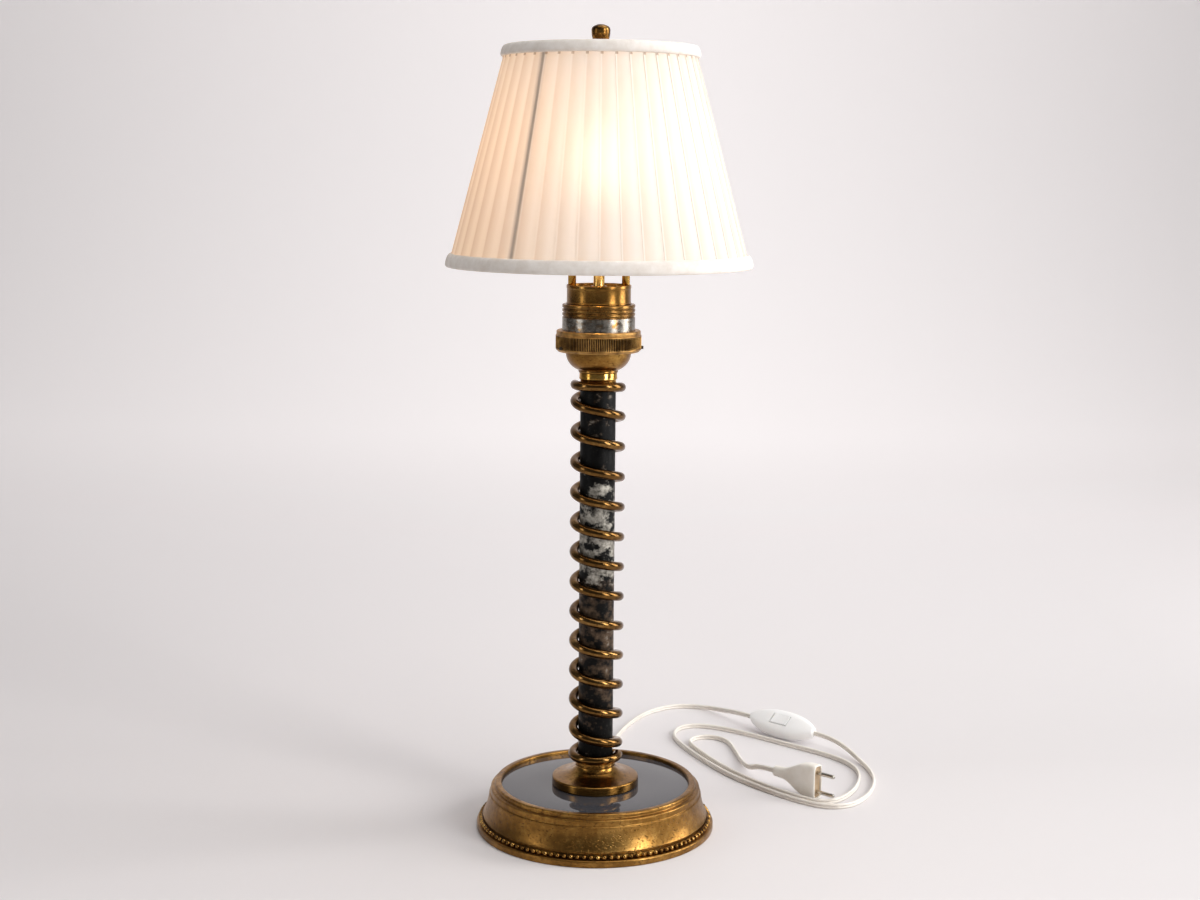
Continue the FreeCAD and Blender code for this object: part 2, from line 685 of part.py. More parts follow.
def shade_radius(height):
    """The cloth's mean radius at a height above the shade's foot."""
    share = height / size("shade_height")
    return size("shade_bottom_radius") + (size("shade_top_radius") - size("shade_bottom_radius")) * share


def pleated_ring(height, shift):
    """One closed zigzag of knife pleats: a long flat face and a short return for each fold."""
    count = int(round(size("pleat_count")))
    radius = shade_radius(height)
    level = size("shade_foot") + height
    corners = []
    for index in range(count):
        for share, depth in ((0.0, 0.5), (0.78, -0.5)):
            angle = 2 * math.pi * (index + share) / count
            reach = radius + depth * size("pleat_depth") + shift
            corners.append(Vector(reach * math.cos(angle), reach * math.sin(angle), level))
    return Part.makePolygon(corners + [corners[0]])


def make_cloth():
    foot = 1.0
    top = size("shade_height") - 1.0
    half = size("cloth_thickness") / 2
    outer = Part.makeLoft([pleated_ring(foot, half), pleated_ring(top, half)], True, True)
    inner = Part.makeLoft([pleated_ring(foot, -half), pleated_ring(top, -half)], True, True)
    return outer.cut(inner)


def band(label, low, height):
    """The rolled edging: cloth on both faces of the pleats, as one ring with a slot for them."""
    slope = (size("shade_top_radius") - size("shade_bottom_radius")) / size("shade_height")
    radius = shade_radius(low)
    clear = size("pleat_depth") / 2 + size("cloth_thickness") / 2 + 0.3
    thick = size("trim_thickness")
    level = size("shade_foot") + low
    bulge = 0.9
    points = [(clear, 0.0), (clear + thick, 0.0), (clear + thick, height), (clear, height)]
    corners = [Vector(radius + across + slope * up, 0, level + up) for across, up in points]
    middle = (corners[1] + corners[2]) * 0.5 + Vector(bulge, 0, 0)
    edges = [Part.LineSegment(corners[0], corners[1]), Part.Arc(corners[1], middle, corners[2]),
             Part.LineSegment(corners[2], corners[3]), Part.LineSegment(corners[3], corners[0])]
    face = Part.Face(Part.Wire([edge.toShape() for edge in edges]))
    feature(label, face.revolve(Vector(0, 0, 0), Vector(0, 0, 1), 360))


def make_shade():
    feature("shade_fabric", make_cloth())
    band("bottom_trim", 0.0, size("bottom_trim_height"))
    band("top_trim", size("shade_height") - size("top_trim_height"), size("top_trim_height"))
    inset = size("pleat_depth") / 2 + size("cloth_thickness") / 2 + 0.3 + size("hoop_radius")
    low = 3.0
    high = value_of(HUB_LOW + " + hub_thickness / 2 - shade_foot")
    hoops = {}
    for label, height in (("bottom_hoop", low), ("top_hoop", high)):
        radius = shade_radius(height) - inset
        hoops[label] = (radius, size("shade_foot") + height)
        feature(label, Part.makeTorus(radius, size("hoop_radius"), Vector(0, 0, hoops[label][1])))
    ribs = []
    arms = []
    count = int(round(size("rib_count")))
    for index in range(count):
        angle = math.radians(270 - size("rib_angle") + 360 * index / count)
        way = Vector(math.cos(angle), math.sin(angle), 0)
        (foot_radius, foot), (top_radius, top) = hoops["bottom_hoop"], hoops["top_hoop"]
        start = way * foot_radius + Vector(0, 0, foot)
        end = way * top_radius + Vector(0, 0, top)
        run = end - start
        run.normalize()
        trim = size("hoop_radius") + size("rib_radius") * 0.3
        start = start + run * trim
        length = (end - start).Length - trim
        ribs.append(Part.makeCylinder(size("rib_radius"), length, start, run))
        root = size("hub_radius") - 1.2
        reach = top_radius - size("hoop_radius") - size("wire_seat") - root
        arms.append(Part.makeCylinder(size("arm_radius"), reach, way * root + Vector(0, 0, top), way))
    feature("shade_ribs", Part.makeCompound(ribs))
    hub = Part.makeCylinder(size("hub_radius"), size("hub_thickness"), Vector(0, 0, value_of(HUB_LOW)))
    for arm in arms:
        hub = hub.fuse(arm)
    hub = hub.cut(Part.makeCylinder(size("stud_radius") + size("hub_fit"), 20,
                                    Vector(0, 0, value_of(HUB_LOW) - 5)))
    feature("spider", hub)
    turned("finial", [
        ("stud_radius + thread_fit", FINIAL_LOW),
        ("finial_neck + 1.2", FINIAL_LOW),
        ("finial_neck", FINIAL_LOW + " + 2.4", "-4"),
        ("finial_radius - 1.4", FINIAL_LOW + " + finial_height - 13", "-6"),
        ("finial_radius", FINIAL_LOW + " + finial_height - 7", "14"),
        ("tip_flat", FINIAL_LOW + " + finial_height", "8.6"),
        ("0", FINIAL_LOW + " + finial_height"),
        ("0", FINIAL_LOW + " + finial_height * 0.6"),
        ("stud_radius + thread_fit", FINIAL_LOW + " + finial_height * 0.6"),
    ])


# ---------------------------------------------------------------- cord
FLOOR = size("cord_diameter") / 2
WALL = value_of(FOOT)


def behind(x, y, z):
    """A point by how far it lies behind the wall of the base, so the cord moves with the base."""
    return Vector(x, WALL + y, z)


SWITCH_CENTRE = behind(202.0, 162.2, 13.5)
PLUG_ENTRY = behind(178.0, 0.2, 17.6)

# The cord lies on the table, so its points are chosen by eye: (x, how far behind the wall of
# the base, height of its middle).
LEAD_ROUTE = [
    (0.0, 16.2, 19.0), (0.6, 38.2, 16.6), (3.0, 60.2, 9.4), (8.0, 83.2, 3.2),
    (14.0, 112.2, FLOOR), (22.0, 148.2, FLOOR), (36.0, 196.2, FLOOR), (58.0, 240.2, FLOOR),
    (88.0, 264.2, FLOOR), (118.0, 262.2, FLOOR), (141.0, 239.2, 6.0),
]
LOOP_ROUTE = [
    (262.0, 102.2, 8.5), (273.0, 76.2, 3.2), (280.0, 44.2, FLOOR), (279.0, 8.2, FLOOR),
    (267.0, -29.8, FLOOR), (246.0, -57.8, FLOOR), (222.0, -61.8, FLOOR), (195.0, -43.8, FLOOR),
    (164.0, -10.8, FLOOR), (136.0, 26.2, FLOOR), (114.0, 68.2, FLOOR), (95.0, 112.2, FLOOR),
    (82.0, 152.2, FLOOR), (90.0, 184.2, FLOOR), (114.0, 193.2, FLOOR), (142.0, 180.2, FLOOR),
    (176.0, 153.2, FLOOR), (208.0, 124.2, FLOOR), (238.0, 99.2, FLOOR), (262.0, 68.2, FLOOR),
    (268.0, 36.2, FLOOR), (261.0, 0.2, FLOOR), (248.0, -27.8, FLOOR), (232.0, -46.8, FLOOR),
    (213.0, -47.8, FLOOR), (190.0, -26.8, FLOOR), (166.0, -0.8, FLOOR), (142.0, 33.2, FLOOR),
    (120.0, 75.2, FLOOR), (103.0, 118.2, FLOOR), (99.0, 134.2, FLOOR), (106.5, 148.2, FLOOR),
    (121.8, 153.0, FLOOR), (136.0, 145.2, FLOOR), (143.0, 130.2, FLOOR), (147.0, 101.2, FLOOR),
    (151.0, 64.2, 3.4), (156.0, 34.2, 8.5),
]
# Inside the base: (x, how far before the wall of the base, height of its middle).
INNER_ROUTE = [(0.0, -43.8, 18.2), (0.0, -79.8, 17.0)]


def rounded_wire(points):
    """Straight runs joined by tangent arcs, each arc as large as its two runs allow."""
    edges = []
    radii = []
    here = points[0]
    for index in range(1, len(points) - 1):
        corner = points[index]
        back = points[index - 1] - corner
        on = points[index + 1] - corner
        shorter = min(back.Length, on.Length)
        half_turn = (math.pi - back.getAngle(on)) / 2
        reach = 0.45 * shorter
        radii.append(reach / math.tan(half_turn))
        back.normalize()
        on.normalize()
        start = corner + back * reach
        end = corner + on * reach
        inward = back + on
        inward.normalize()
        middle = corner + inward * (radii[-1] / math.cos(half_turn) - radii[-1])
        edges += [Part.LineSegment(here, start).toShape(), Part.Arc(start, middle, end).toShape()]
        here = end
    edges.append(Part.LineSegment(here, points[-1]).toShape())
    return Part.Wire(edges), radii


def cord_tube(label, points):
    """The cord's free stretch as a round tube, with its radii and volume printed."""
    wire, radii = rounded_wire(points)
    way = points[1] - points[0]
    radius = size("cord_diameter") / 2
    section = Part.Wire(Part.makeCircle(radius, points[0], way))
    tube = wire.makePipeShell([section], True, False)
    expected = math.pi * radius ** 2 * wire.Length
    lowest = min(point.z for point in tube.tessellate(0.05)[0])
    print("%s: length %.0f mm, volume %.4f of section times length, lowest %.3f mm" % (
        label, wire.Length, tube.Volume / expected, lowest))
    print("  radii:", " ".join("%.0f" % radius for radius in radii))
    feature(label, tube)


def switch_place():
    heading = Rotation(Vector(0, 0, 1), size("switch_heading"))
    tilt = Rotation(Vector(1, 0, 0), size("switch_tilt"))
    return Placement(SWITCH_CENTRE, heading.multiply(tilt))


def plug_place():
    return Placement(PLUG_ENTRY, Rotation(Vector(0, 0, 1), size("plug_heading")))


def make_bush():
    """The strain relief: a rubber bush with a flange against the wall and a tapered tail."""
    out = Vector(0, 1, 0)
    foot = behind(0, -size("bush_inside"), size("exit_height"))
    flange = behind(0, size("bead_fit"), size("exit_height"))
    tail = flange + out * size("bush_flange_thickness")
    radius = size("bush_radius") - size("tube_fit")
    flange_radius = size("bush_flange")
    thickness = size("bush_flange_thickness")
    bush = Part.makeCylinder(radius, (tail - foot).Length, foot, out)
    bush = bush.fuse(Part.makeCone(flange_radius, flange_radius - thickness / 2, thickness, flange, out))
    bush = bush.fuse(Part.makeCone(radius, size("bush_tip"), size("bush_tail"), tail, out))
    bore = size("cord_diameter") / 2 + size("cord_fit")
    length = size("bush_inside") + size("bush_tail") * 2
    feature("cord_bush", bush.cut(Part.makeCylinder(bore, length, foot - out, out)))


def make_cord():
    """The cord's three stretches, which meet face to face: inside, to the switch and to the plug."""
    switch = switch_place()
    half = size("switch_length") / 2
    straight = size("cord_straight")
    switch_left = switch.multVec(Vector(-half, 0, 0))
    switch_right = switch.multVec(Vector(half, 0, 0))
    heading = switch.Rotation.multVec(Vector(1, 0, 0))
    start = behind(0, 2 - size("bush_inside"), size("exit_height"))
    lead = [start] + [behind(*place) for place in LEAD_ROUTE]
    cord_tube("cord_lead", lead + [switch_left - heading * straight, switch_left])
    loops = [switch_right, switch_right + heading * straight] + [behind(*place) for place in LOOP_ROUTE]
    plug_way = plug_place().Rotation.multVec(Vector(1, 0, 0))
    cord_tube("cord_loops", loops + [PLUG_ENTRY - plug_way * straight, PLUG_ENTRY])
    middle_low = size("exit_height") - 4.5
    socket = Vector(0, 0, size("socket_foot") + 8.3)
    inner = [start] + [behind(*place) for place in INNER_ROUTE]
    inner += [Vector(0, 9, middle_low - 3), Vector(0, 0, middle_low), socket]
    cord_tube("inner_cord", inner)


def switch_outline(width, length, mouth):
    """A pointed oval: two long arcs cut square where the cord enters."""
    a = length / 2
    b = width / 2
    c = mouth / 2
    top = Part.Arc(Vector(-a, c, 0), Vector(0, b, 0), Vector(a, c, 0)).toShape()
    right = Part.LineSegment(Vector(a, c, 0), Vector(a, -c, 0)).toShape()
    low = Part.Arc(Vector(a, -c, 0), Vector(0, -b, 0), Vector(-a, -c, 0)).toShape()
    left = Part.LineSegment(Vector(-a, -c, 0), Vector(-a, c, 0)).toShape()
    return Part.Wire([top, right, low, left])


def make_switch():
    """Two moulded shells split along the middle, a rocker on a pin, and the cord's bore."""
    place = switch_place()
    width = size("switch_width")
    length = size("switch_length")
    mouth = size("switch_mouth")
    rocker_length = size("rocker_length")
    rocker_width = size("rocker_width")
    gap = size("rocker_gap")
    pocket = Part.makeBox(rocker_length + 2 * gap, rocker_width + 2 * gap, 30,
                          Vector(-rocker_length / 2 - gap, -rocker_width / 2 - gap, -2))
    for label, height, side in (("switch_lower", size("switch_lower"), -1),
                                ("switch_upper", size("switch_upper"), 1)):
        base = switch_outline(width, length, mouth)
        crown = switch_outline(width - 7, length - 7, mouth - 3)
        crown.translate(Vector(0, 0, side * height))
        middle = switch_outline(width - 0.8, length - 0.8, mouth - 0.4)
        middle.translate(Vector(0, 0, side * height * 0.6))
        shell = Part.makeLoft([base, middle], True, True).fuse(
            Part.makeLoft([middle, crown], True, True)).removeSplitter()
        feature(label, shell.cut(pocket), place)
    pin_height = size("switch_upper") * 0.35
    pin = Part.makeCylinder(size("rocker_pin"), rocker_width + 2 * gap,
                            Vector(0, -rocker_width / 2 - gap, pin_height), Vector(0, 1, 0))
    feature("rocker_pin", pin, place)
    low = -1.0
    top = size("switch_upper") + 0.4
    half = rocker_length / 2
    corners = [Vector(-half, 0, 1.4), Vector(-3, 0, low), Vector(3, 0, low), Vector(half, 0, 1.4),
               Vector(half, 0, top + 0.9), Vector(0, 0, top - 0.9), Vector(-half, 0, top + 0.9)]
    edges = [Part.LineSegment(corners[k], corners[k + 1]).toShape() for k in range(4)]
    edges.append(Part.Arc(corners[4], corners[5], corners[6]).toShape())
    edges.append(Part.LineSegment(corners[6], corners[0]).toShape())
    face = Part.Face(Part.Wire(edges))
    rocker = face.extrude(Vector(0, rocker_width, 0))
    rocker.translate(Vector(0, -rocker_width / 2, 0))
    rocker = rocker.cut(Part.makeCylinder(size("rocker_pin") + 0.08, rocker_width + 2,
                                          Vector(0, -rocker_width / 2 - 1, pin_height), Vector(0, 1, 0)))
    feature("switch_rocker", rocker, place)


def make_plug():
    """A flat two-pin plug on its narrow edge: neck, flare and hexagonal body."""
    place = plug_place()
    half = size("plug_height") / 2
    thin = size("plug_thickness") / 2
    neck = size("plug_neck") / 2

    def section(x, high, wide, corner):
        points = [Vector(x, -wide, -high + corner), Vector(x, -wide + corner / 2, -high),
                  Vector(x, wide - corner / 2, -high), Vector(x, wide, -high + corner),
                  Vector(x, wide, high - corner), Vector(x, wide - corner / 2, high),
                  Vector(x, -wide + corner / 2, high), Vector(x, -wide, high - corner)]
        return Part.makePolygon(points + [points[0]])
    length = size("plug_length")
    stations = [section(0.0, neck * 0.9, neck * 0.8, 1.6), section(length * 0.3, neck * 1.25, neck, 2.0),
                section(length * 0.5, half - 5, thin - 0.8, 4.0), section(length * 0.6, half, thin, 6.0),
                section(length, half - 0.6, thin - 0.3, 6.0)]
    body = Part.makeLoft(stations[:2], True, True)
    for first, second in zip(stations[1:-1], stations[2:]):
        body = body.fuse(Part.makeLoft([first, second], True, True))
    pins = []
    root = size("pin_root")
    shoulder = size("pin_shoulder")
    along = Vector(1, 0, 0)
    for side in (-1, 1):
        foot = Vector(length - root, 0, side * size("pin_spacing") / 2)
        stub = Part.makeCylinder(size("pin_root_radius"), root + shoulder, foot, along)
        body = body.cut(stub)
        blade = Part.makeCylinder(size("pin_radius"), size("pin_length") - shoulder,
                                  foot + along * (root + shoulder), along)
        pins.append(stub.fuse(blade))
    feature("plug_body", body, place)
    feature("plug_pins", Part.makeCompound(pins), place)


# ---------------------------------------------------------------- build, check and write
make_base()
make_foot()
make_column()
make_gallery()
make_bridge()
make_socket()
make_bulb()
make_shade()
make_bush()
make_cord()
make_switch()
make_plug()
doc.recompute()

NODES = ["base_shell", "bead_border", "glass_disc", "felt_pad", "bottom_plate", "base_weight",
         "foot_collar", "foot_washer", "foot_nut", "column_tube", "spiral_rod", "threaded_pipe",
         "neck_ferrule", "holder_cup", "fluted_ring", "holder_barrel", "gallery_sleeve",
         "gallery_deck", "support_rod_left", "support_rod_right", "support_nuts", "deck_nut",
         "ring_screws", "top_bridge", "shade_stud", "stud_nut", "socket_shell", "socket_core",
         "screw_shell", "centre_contact", "bulb_cap", "bulb_glass", "shade_fabric", "bottom_trim",
         "top_trim", "bottom_hoop", "top_hoop", "shade_ribs", "spider", "finial", "cord_bush",
         "cord_lead", "cord_loops", "inner_cord", "switch_lower", "switch_upper", "rocker_pin",
         "switch_rocker", "plug_body", "plug_pins"]

for item in doc.Objects:
    if "Invalid" in item.State or "Error" in item.State:
        raise RuntimeError("%s did not build: %s" % (item.Label, item.State))

os.makedirs("parts", exist_ok=True)
for label in NODES:
    piece = doc.getObjectsByLabel(label)[0]
    shape = piece.Shape
    if shape.isNull() or not shape.isValid():
        raise RuntimeError(label + " has no valid shape")
    shape.exportStep(os.path.join("parts", label + ".step"))
    print("%-18s %9.0f mm3  solids %d  z %.1f to %.1f" % (
        label, shape.Volume, len(shape.Solids), shape.BoundBox.ZMin, shape.BoundBox.ZMax))
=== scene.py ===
# %% [markdown]
# A candlestick lamp: a beaded brass base with a black glass top, an iron column wound with a
# brass rod, a lampholder gallery and a pleated shade that is lit from inside.
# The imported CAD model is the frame: it fixes every size and place. This file gives the lamp
# its looks: smooth turned metal, cloth, cord, glass, light and camera, all in metres.

import math

import bmesh
import bpy
import numpy as np
from mathutils import Matrix, Vector


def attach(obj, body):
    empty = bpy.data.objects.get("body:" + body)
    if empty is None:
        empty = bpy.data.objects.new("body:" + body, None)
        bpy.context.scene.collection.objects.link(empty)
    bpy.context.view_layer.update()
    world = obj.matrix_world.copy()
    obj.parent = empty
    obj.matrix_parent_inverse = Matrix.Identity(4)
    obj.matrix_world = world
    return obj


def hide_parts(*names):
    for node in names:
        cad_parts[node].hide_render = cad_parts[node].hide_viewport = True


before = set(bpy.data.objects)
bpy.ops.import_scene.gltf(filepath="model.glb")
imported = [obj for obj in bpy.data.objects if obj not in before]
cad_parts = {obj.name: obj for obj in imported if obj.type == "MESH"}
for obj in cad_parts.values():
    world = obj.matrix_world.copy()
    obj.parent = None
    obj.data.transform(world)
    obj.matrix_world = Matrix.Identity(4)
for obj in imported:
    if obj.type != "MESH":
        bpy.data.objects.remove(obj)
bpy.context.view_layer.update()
MM = 0.001

# %% [markdown]
# Every mesh below is a grid of points worked out by a formula. One function turns such a grid
# into an object: rows run along the piece, columns run round it. Merging the points that
# coincide closes poles and seams, and normals are made to face outwards.


# %% Grids of points into meshes
SAME_POINT = 1e-6


def shaped(name, points, faces, material, crease=35):
    """Points in millimetres and faces of four points as a smooth object. Edges that bend by more
    than crease degrees stay sharp."""
    mesh = bpy.data.meshes.new(name)
    mesh.from_pydata((points.reshape(-1, 3) * MM).tolist(), [], faces.reshape(-1, 4).tolist())
    work = bmesh.new()
    work.from_mesh(mesh)
    bmesh.ops.remove_doubles(work, verts=work.verts, dist=SAME_POINT)
    bmesh.ops.recalc_face_normals(work, faces=work.faces)
    work.to_mesh(mesh)
    work.free()
    mesh.shade_smooth()
    mesh.set_sharp_from_angle(angle=math.radians(crease))
    mesh.materials.append(material)
    thing = bpy.data.objects.new(name, mesh)
    bpy.context.scene.collection.objects.link(thing)
    return thing


def piece(name, points, material, round_rows=False, round_columns=True, crease=35):
    """A grid points[row, column] in millimetres as an object. round_rows and round_columns join
    the last row or column to the first."""
    rows, columns = points.shape[:2]
    index = np.arange(rows * columns).reshape(rows, columns)
    if round_rows:
        index = np.vstack([index, index[:1]])
    if round_columns:
        index = np.hstack([index, index[:, :1]])
    faces = np.stack([index[:-1, :-1], index[:-1, 1:], index[1:, 1:], index[1:, :-1]], axis=-1)
    return shaped(name, points, faces, material, crease)


def bent(corners, soft=0.3, steps=10):
    """A closed outline as dense points. A corner is (x, y) or (x, y, radius): the radius bends
    the edge that reaches it, to the left of the way if positive. Sharp corners are rounded off
    over the distance soft by a quadratic curve."""
    ends = [np.array(corner[:2], dtype=float) for corner in corners]
    path = []
    for index, corner in enumerate(corners):
        first, last = ends[index - 1], ends[index]
        if len(corner) == 2:
            path.append(last)
            continue
        chord = last - first
        length = np.hypot(*chord)
        left = np.array([-chord[1], chord[0]]) / length
        rise = math.sqrt(max(corner[2] ** 2 - length ** 2 / 4, 0.0))
        centre = (first + last) / 2 + left * math.copysign(rise, corner[2])
        start, stop = [math.atan2(*(end - centre)[::-1]) for end in (first, last)]
        turn = (stop - start + math.pi) % (2 * math.pi) - math.pi
        angles = start + turn * np.linspace(0, 1, steps + 1)[1:]
        reach = np.hypot(*(first - centre))
        path += list(centre + reach * np.stack([np.cos(angles), np.sin(angles)], axis=1))
    result = []
    for index, point in enumerate(path):
        back = path[index - 1] - point
        on = path[(index + 1) % len(path)] - point
        sizes = [max(np.hypot(*back), 1e-9), max(np.hypot(*on), 1e-9)]
        straight = np.dot(back, on) / sizes[0] / sizes[1]
        if straight < -0.92 or point[0] < 1e-6:
            result.append(point)
            continue
        cut = min(soft, 0.4 * min(sizes))
        start, stop = point + back / sizes[0] * cut, point + on / sizes[1] * cut
        for t in (0.0, 0.33, 0.67, 1.0):
            result.append(start * (1 - t) ** 2 + point * 2 * t * (1 - t) + stop * t ** 2)
    return np.array(result)


def revolved(outline, columns=160):
    """A closed outline of (radius, height) turned about Z."""
    angles = 2 * math.pi * np.arange(columns) / columns
    radius, height = outline[:, 0][:, None], outline[:, 1][:, None]
    return np.stack([radius * np.cos(angles), radius * np.sin(angles),
                     height + 0 * angles], axis=-1)


def turned(name, corners, material, soft=0.3, columns=160, body="lamp", replaces=None):
    """A piece turned on the lathe, standing for the CAD node of that name."""
    thing = piece(name, revolved(bent(corners, soft), columns), material, round_rows=True)
    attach(thing, body)
    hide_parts(*(replaces or [name.replace("_look", "")]))
    return thing


# %% [markdown]
# Finishes are built from nodes. One function adds any node: a value sets an input, a socket
# links to it, and further words set the node's own settings. Colours are written as the sRGB
# codes one would pick by eye and are made linear here, because shaders work in linear light.


# %% Colours and nodes
def linear(code):
    """An sRGB colour code such as 'C8963F' as a linear RGBA tuple."""
    levels = [int(code[k:k + 2], 16) / 255 for k in (0, 2, 4)]
    return tuple(v / 12.92 if v <= 0.04045 else ((v + 0.055) / 1.055) ** 2.4 for v in levels) + (1.0,)


def node(tree, kind, inputs=(), **settings):
    """Adds a node; inputs maps a socket's name or number to a value or to another socket."""
    made = tree.nodes.new(kind)
    for key, value in settings.items():
        setattr(made, key, value)
    for key, value in dict(inputs).items():
        if isinstance(value, bpy.types.NodeSocket):
            tree.links.new(value, made.inputs[key])
        else:
            made.inputs[key].default_value = value
    return made


def blank(name):
    """A new material with only its output node."""
    material = bpy.data.materials.new(name)
    material.use_nodes = True
    material.node_tree.nodes.clear()
    tree = material.node_tree
    return material, tree, node(tree, "ShaderNodeOutputMaterial")


def ramp(tree, factor, stops):
    """A colour ramp through (position, sRGB code) stops."""
    made = node(tree, "ShaderNodeValToRGB", {0: factor})
    elements = made.color_ramp.elements
    for index, (position, code) in enumerate(stops):
        element = elements[index] if index < 2 else elements.new(position)
        element.position = position
        element.color = linear(code)
    return made.outputs[0]


def noise(tree, size, detail=4.0, stretch=(1, 1, 1), rough=0.55):
    """Noise of a real size in millimetres, read in the object's own metres."""
    place = node(tree, "ShaderNodeTexCoord").outputs["Object"]
    scaled = node(tree, "ShaderNodeVectorMath", {0: place, 1: stretch}, operation="MULTIPLY")
    return node(tree, "ShaderNodeTexNoise", {0: scaled.outputs[0], "Scale": 1 / (size * MM),
                                              "Detail": detail, "Roughness": rough}).outputs[0]


def math_node(tree, kind, *values, clamp=False):
    """One arithmetic step."""
    return node(tree, "ShaderNodeMath", dict(enumerate(values)), operation=kind,
                use_clamp=clamp).outputs[0]


def spread(tree, value, low, high, first=0.0, last=1.0):
    """value between low and high carried over to first and last, held at the ends."""
    return node(tree, "ShaderNodeMapRange", {0: value, 1: low, 2: high, 3: first, 4: last}).outputs[0]


# %% [markdown]
# Old brass is a metal, so its colour is in its reflection. The bright metal shows where hands
# and cloths rub it, and a brown film stays elsewhere. Two sizes of noise choose between three
# tones, the same noise makes the film duller than the rubbed metal, and small pits come from
# a fine noise whose lowest parts press the surface in.


# %% Brass and other metals
PIT_SIZE = 2.4
LATHE_LINE = 0.7


def metal(name, tones, roughness, patch=14.0, pits=0.0, grain=0.0, contrast=(0.36, 0.64)):
    """A worn metal: tones are three colours from deep film to rubbed metal."""
    material, tree, output = blank(name)
    cloud = noise(tree, patch, 5.0)
    fine = noise(tree, patch / 7, 3.0)
    mixed = math_node(tree, "ADD", math_node(tree, "MULTIPLY", cloud, 0.65),
                      math_node(tree, "MULTIPLY", fine, 0.35))
    wear = spread(tree, mixed, *contrast)
    colour = ramp(tree, wear, [(0.0, tones[0]), (1.0, tones[2]), (0.5, tones[1])])
    rough = spread(tree, wear, 0.0, 1.0, roughness[1], roughness[0])
    height = None
    if pits:
        low = spread(tree, noise(tree, PIT_SIZE, 2.0, stretch=(1.0, 1.0, 1.8)), 0.30, 0.42)
        colour = node(tree, "ShaderNodeMix", {0: low, 6: linear(tones[0]), 7: colour},
                      data_type="RGBA").outputs[2]
        height = node(tree, "ShaderNodeBump", {"Height": low, "Strength": pits, "Distance": 0.25 * MM})
    if grain:
        lines = noise(tree, LATHE_LINE, 2.0, stretch=(0.06, 0.06, 1.0))
        link = {"Height": lines, "Strength": grain, "Distance": 0.05 * MM}
        if height is not None:
            link["Normal"] = height.outputs[0]
        height = node(tree, "ShaderNodeBump", link)
    shader = node(tree, "ShaderNodeBsdfPrincipled",
                  {"Base Color": colour, "Roughness": rough, "Metallic": 1.0})
    if height is not None:
        tree.links.new(height.outputs[0], shader.inputs["Normal"])
    tree.links.new(shader.outputs[0], output.inputs[0])
    return material


# Cast and turned base: a brown film, rubbed places and small casting pits.
brass_cast = metal("brass_cast", ("5A3E1E", "8B6430", "BE9250"), (0.26, 0.38), pits=0.8, grain=0.3,
                   patch=36, contrast=(0.28, 0.72))
# Turned holder parts and collar: cleaner, with the fine rings of the lathe.
brass_turned = metal("brass_turned", ("543818", "8C6530", "BE9652"), (0.18, 0.3), pits=0.2, grain=0.25,
                     patch=26, contrast=(0.2, 0.8))
# Polished pipe, ferrule, deck and rods: still bright, so they mirror the lights.
brass_bright = metal("brass_bright", ("A87A2E", "D2A24E", "EBC578"), (0.12, 0.24), grain=0.2)
# The wire behind the beads: tarnish that no cloth reaches, and painted shade in the gaps between the beads.
brass_tarnish_and_shade = metal("brass_tarnish_and_shade", ("2E1E0E", "5C3F1C", "9A7434"), (0.3, 0.5), pits=0.3, patch=9)
# The finial, dark from many hands, and the drawn rod under its even film.
brass_finial = metal("brass_finial", ("2C1C0C", "6E4C22", "B68A48"), (0.2, 0.34), patch=7)
brass_rod = metal("brass_rod", ("442F1A", "71522B", "A6814E"), (0.13, 0.22), pits=0.1, patch=30,
                  contrast=(0.25, 0.75))
# Beads are rubbed on their tops, which gives each its own point of light.
brass_bead = metal("brass_bead", ("3E2810", "8E6632", "D8AE66"), (0.16, 0.28), patch=9)
# Zinc-plated steel, blackened screws, nickel plate and the raw iron of the hidden weight.
steel = metal("steel", ("6E6A64", "8E8B86", "B2AFAA"), (0.25, 0.4))
steel_dark = metal("steel_dark", ("2A2622", "4A443C", "6A6358"), (0.35, 0.5))
nickel = metal("nickel", ("9A968E", "C9C5BC", "E2DFD6"), (0.12, 0.25), grain=0.15)
iron_cast = metal("iron_cast", ("1C1B1A", "2E2C2A", "403D3A"), (0.6, 0.8), pits=0.4)
print("metals:", len([m for m in bpy.data.materials if m.name.startswith(("brass", "steel", "nickel"))]))

# %% [markdown]
# The column is an iron tube with a near-black patina. Above its middle the patina is worn
# through in cloudy silver patches, and below them it has gone brown, so the wear is noise that
# height lets through. The other finishes are plain: a main colour that drifts a little to a
# second one, because no moulded or dyed surface is quite even.


# %% Iron, glass and plastics
RUBBED_ZONE = (0.215, 0.245, 0.315, 0.340)
RUSTY_ZONE = (0.08, 0.12, 0.235, 0.260)


def between(tree, value, zone):
    """1 inside a zone and 0 outside: it rises over the first pair and falls over the second."""
    return math_node(tree, "MULTIPLY", spread(tree, value, zone[0], zone[1]),
                     spread(tree, value, zone[2], zone[3], 1.0, 0.0))


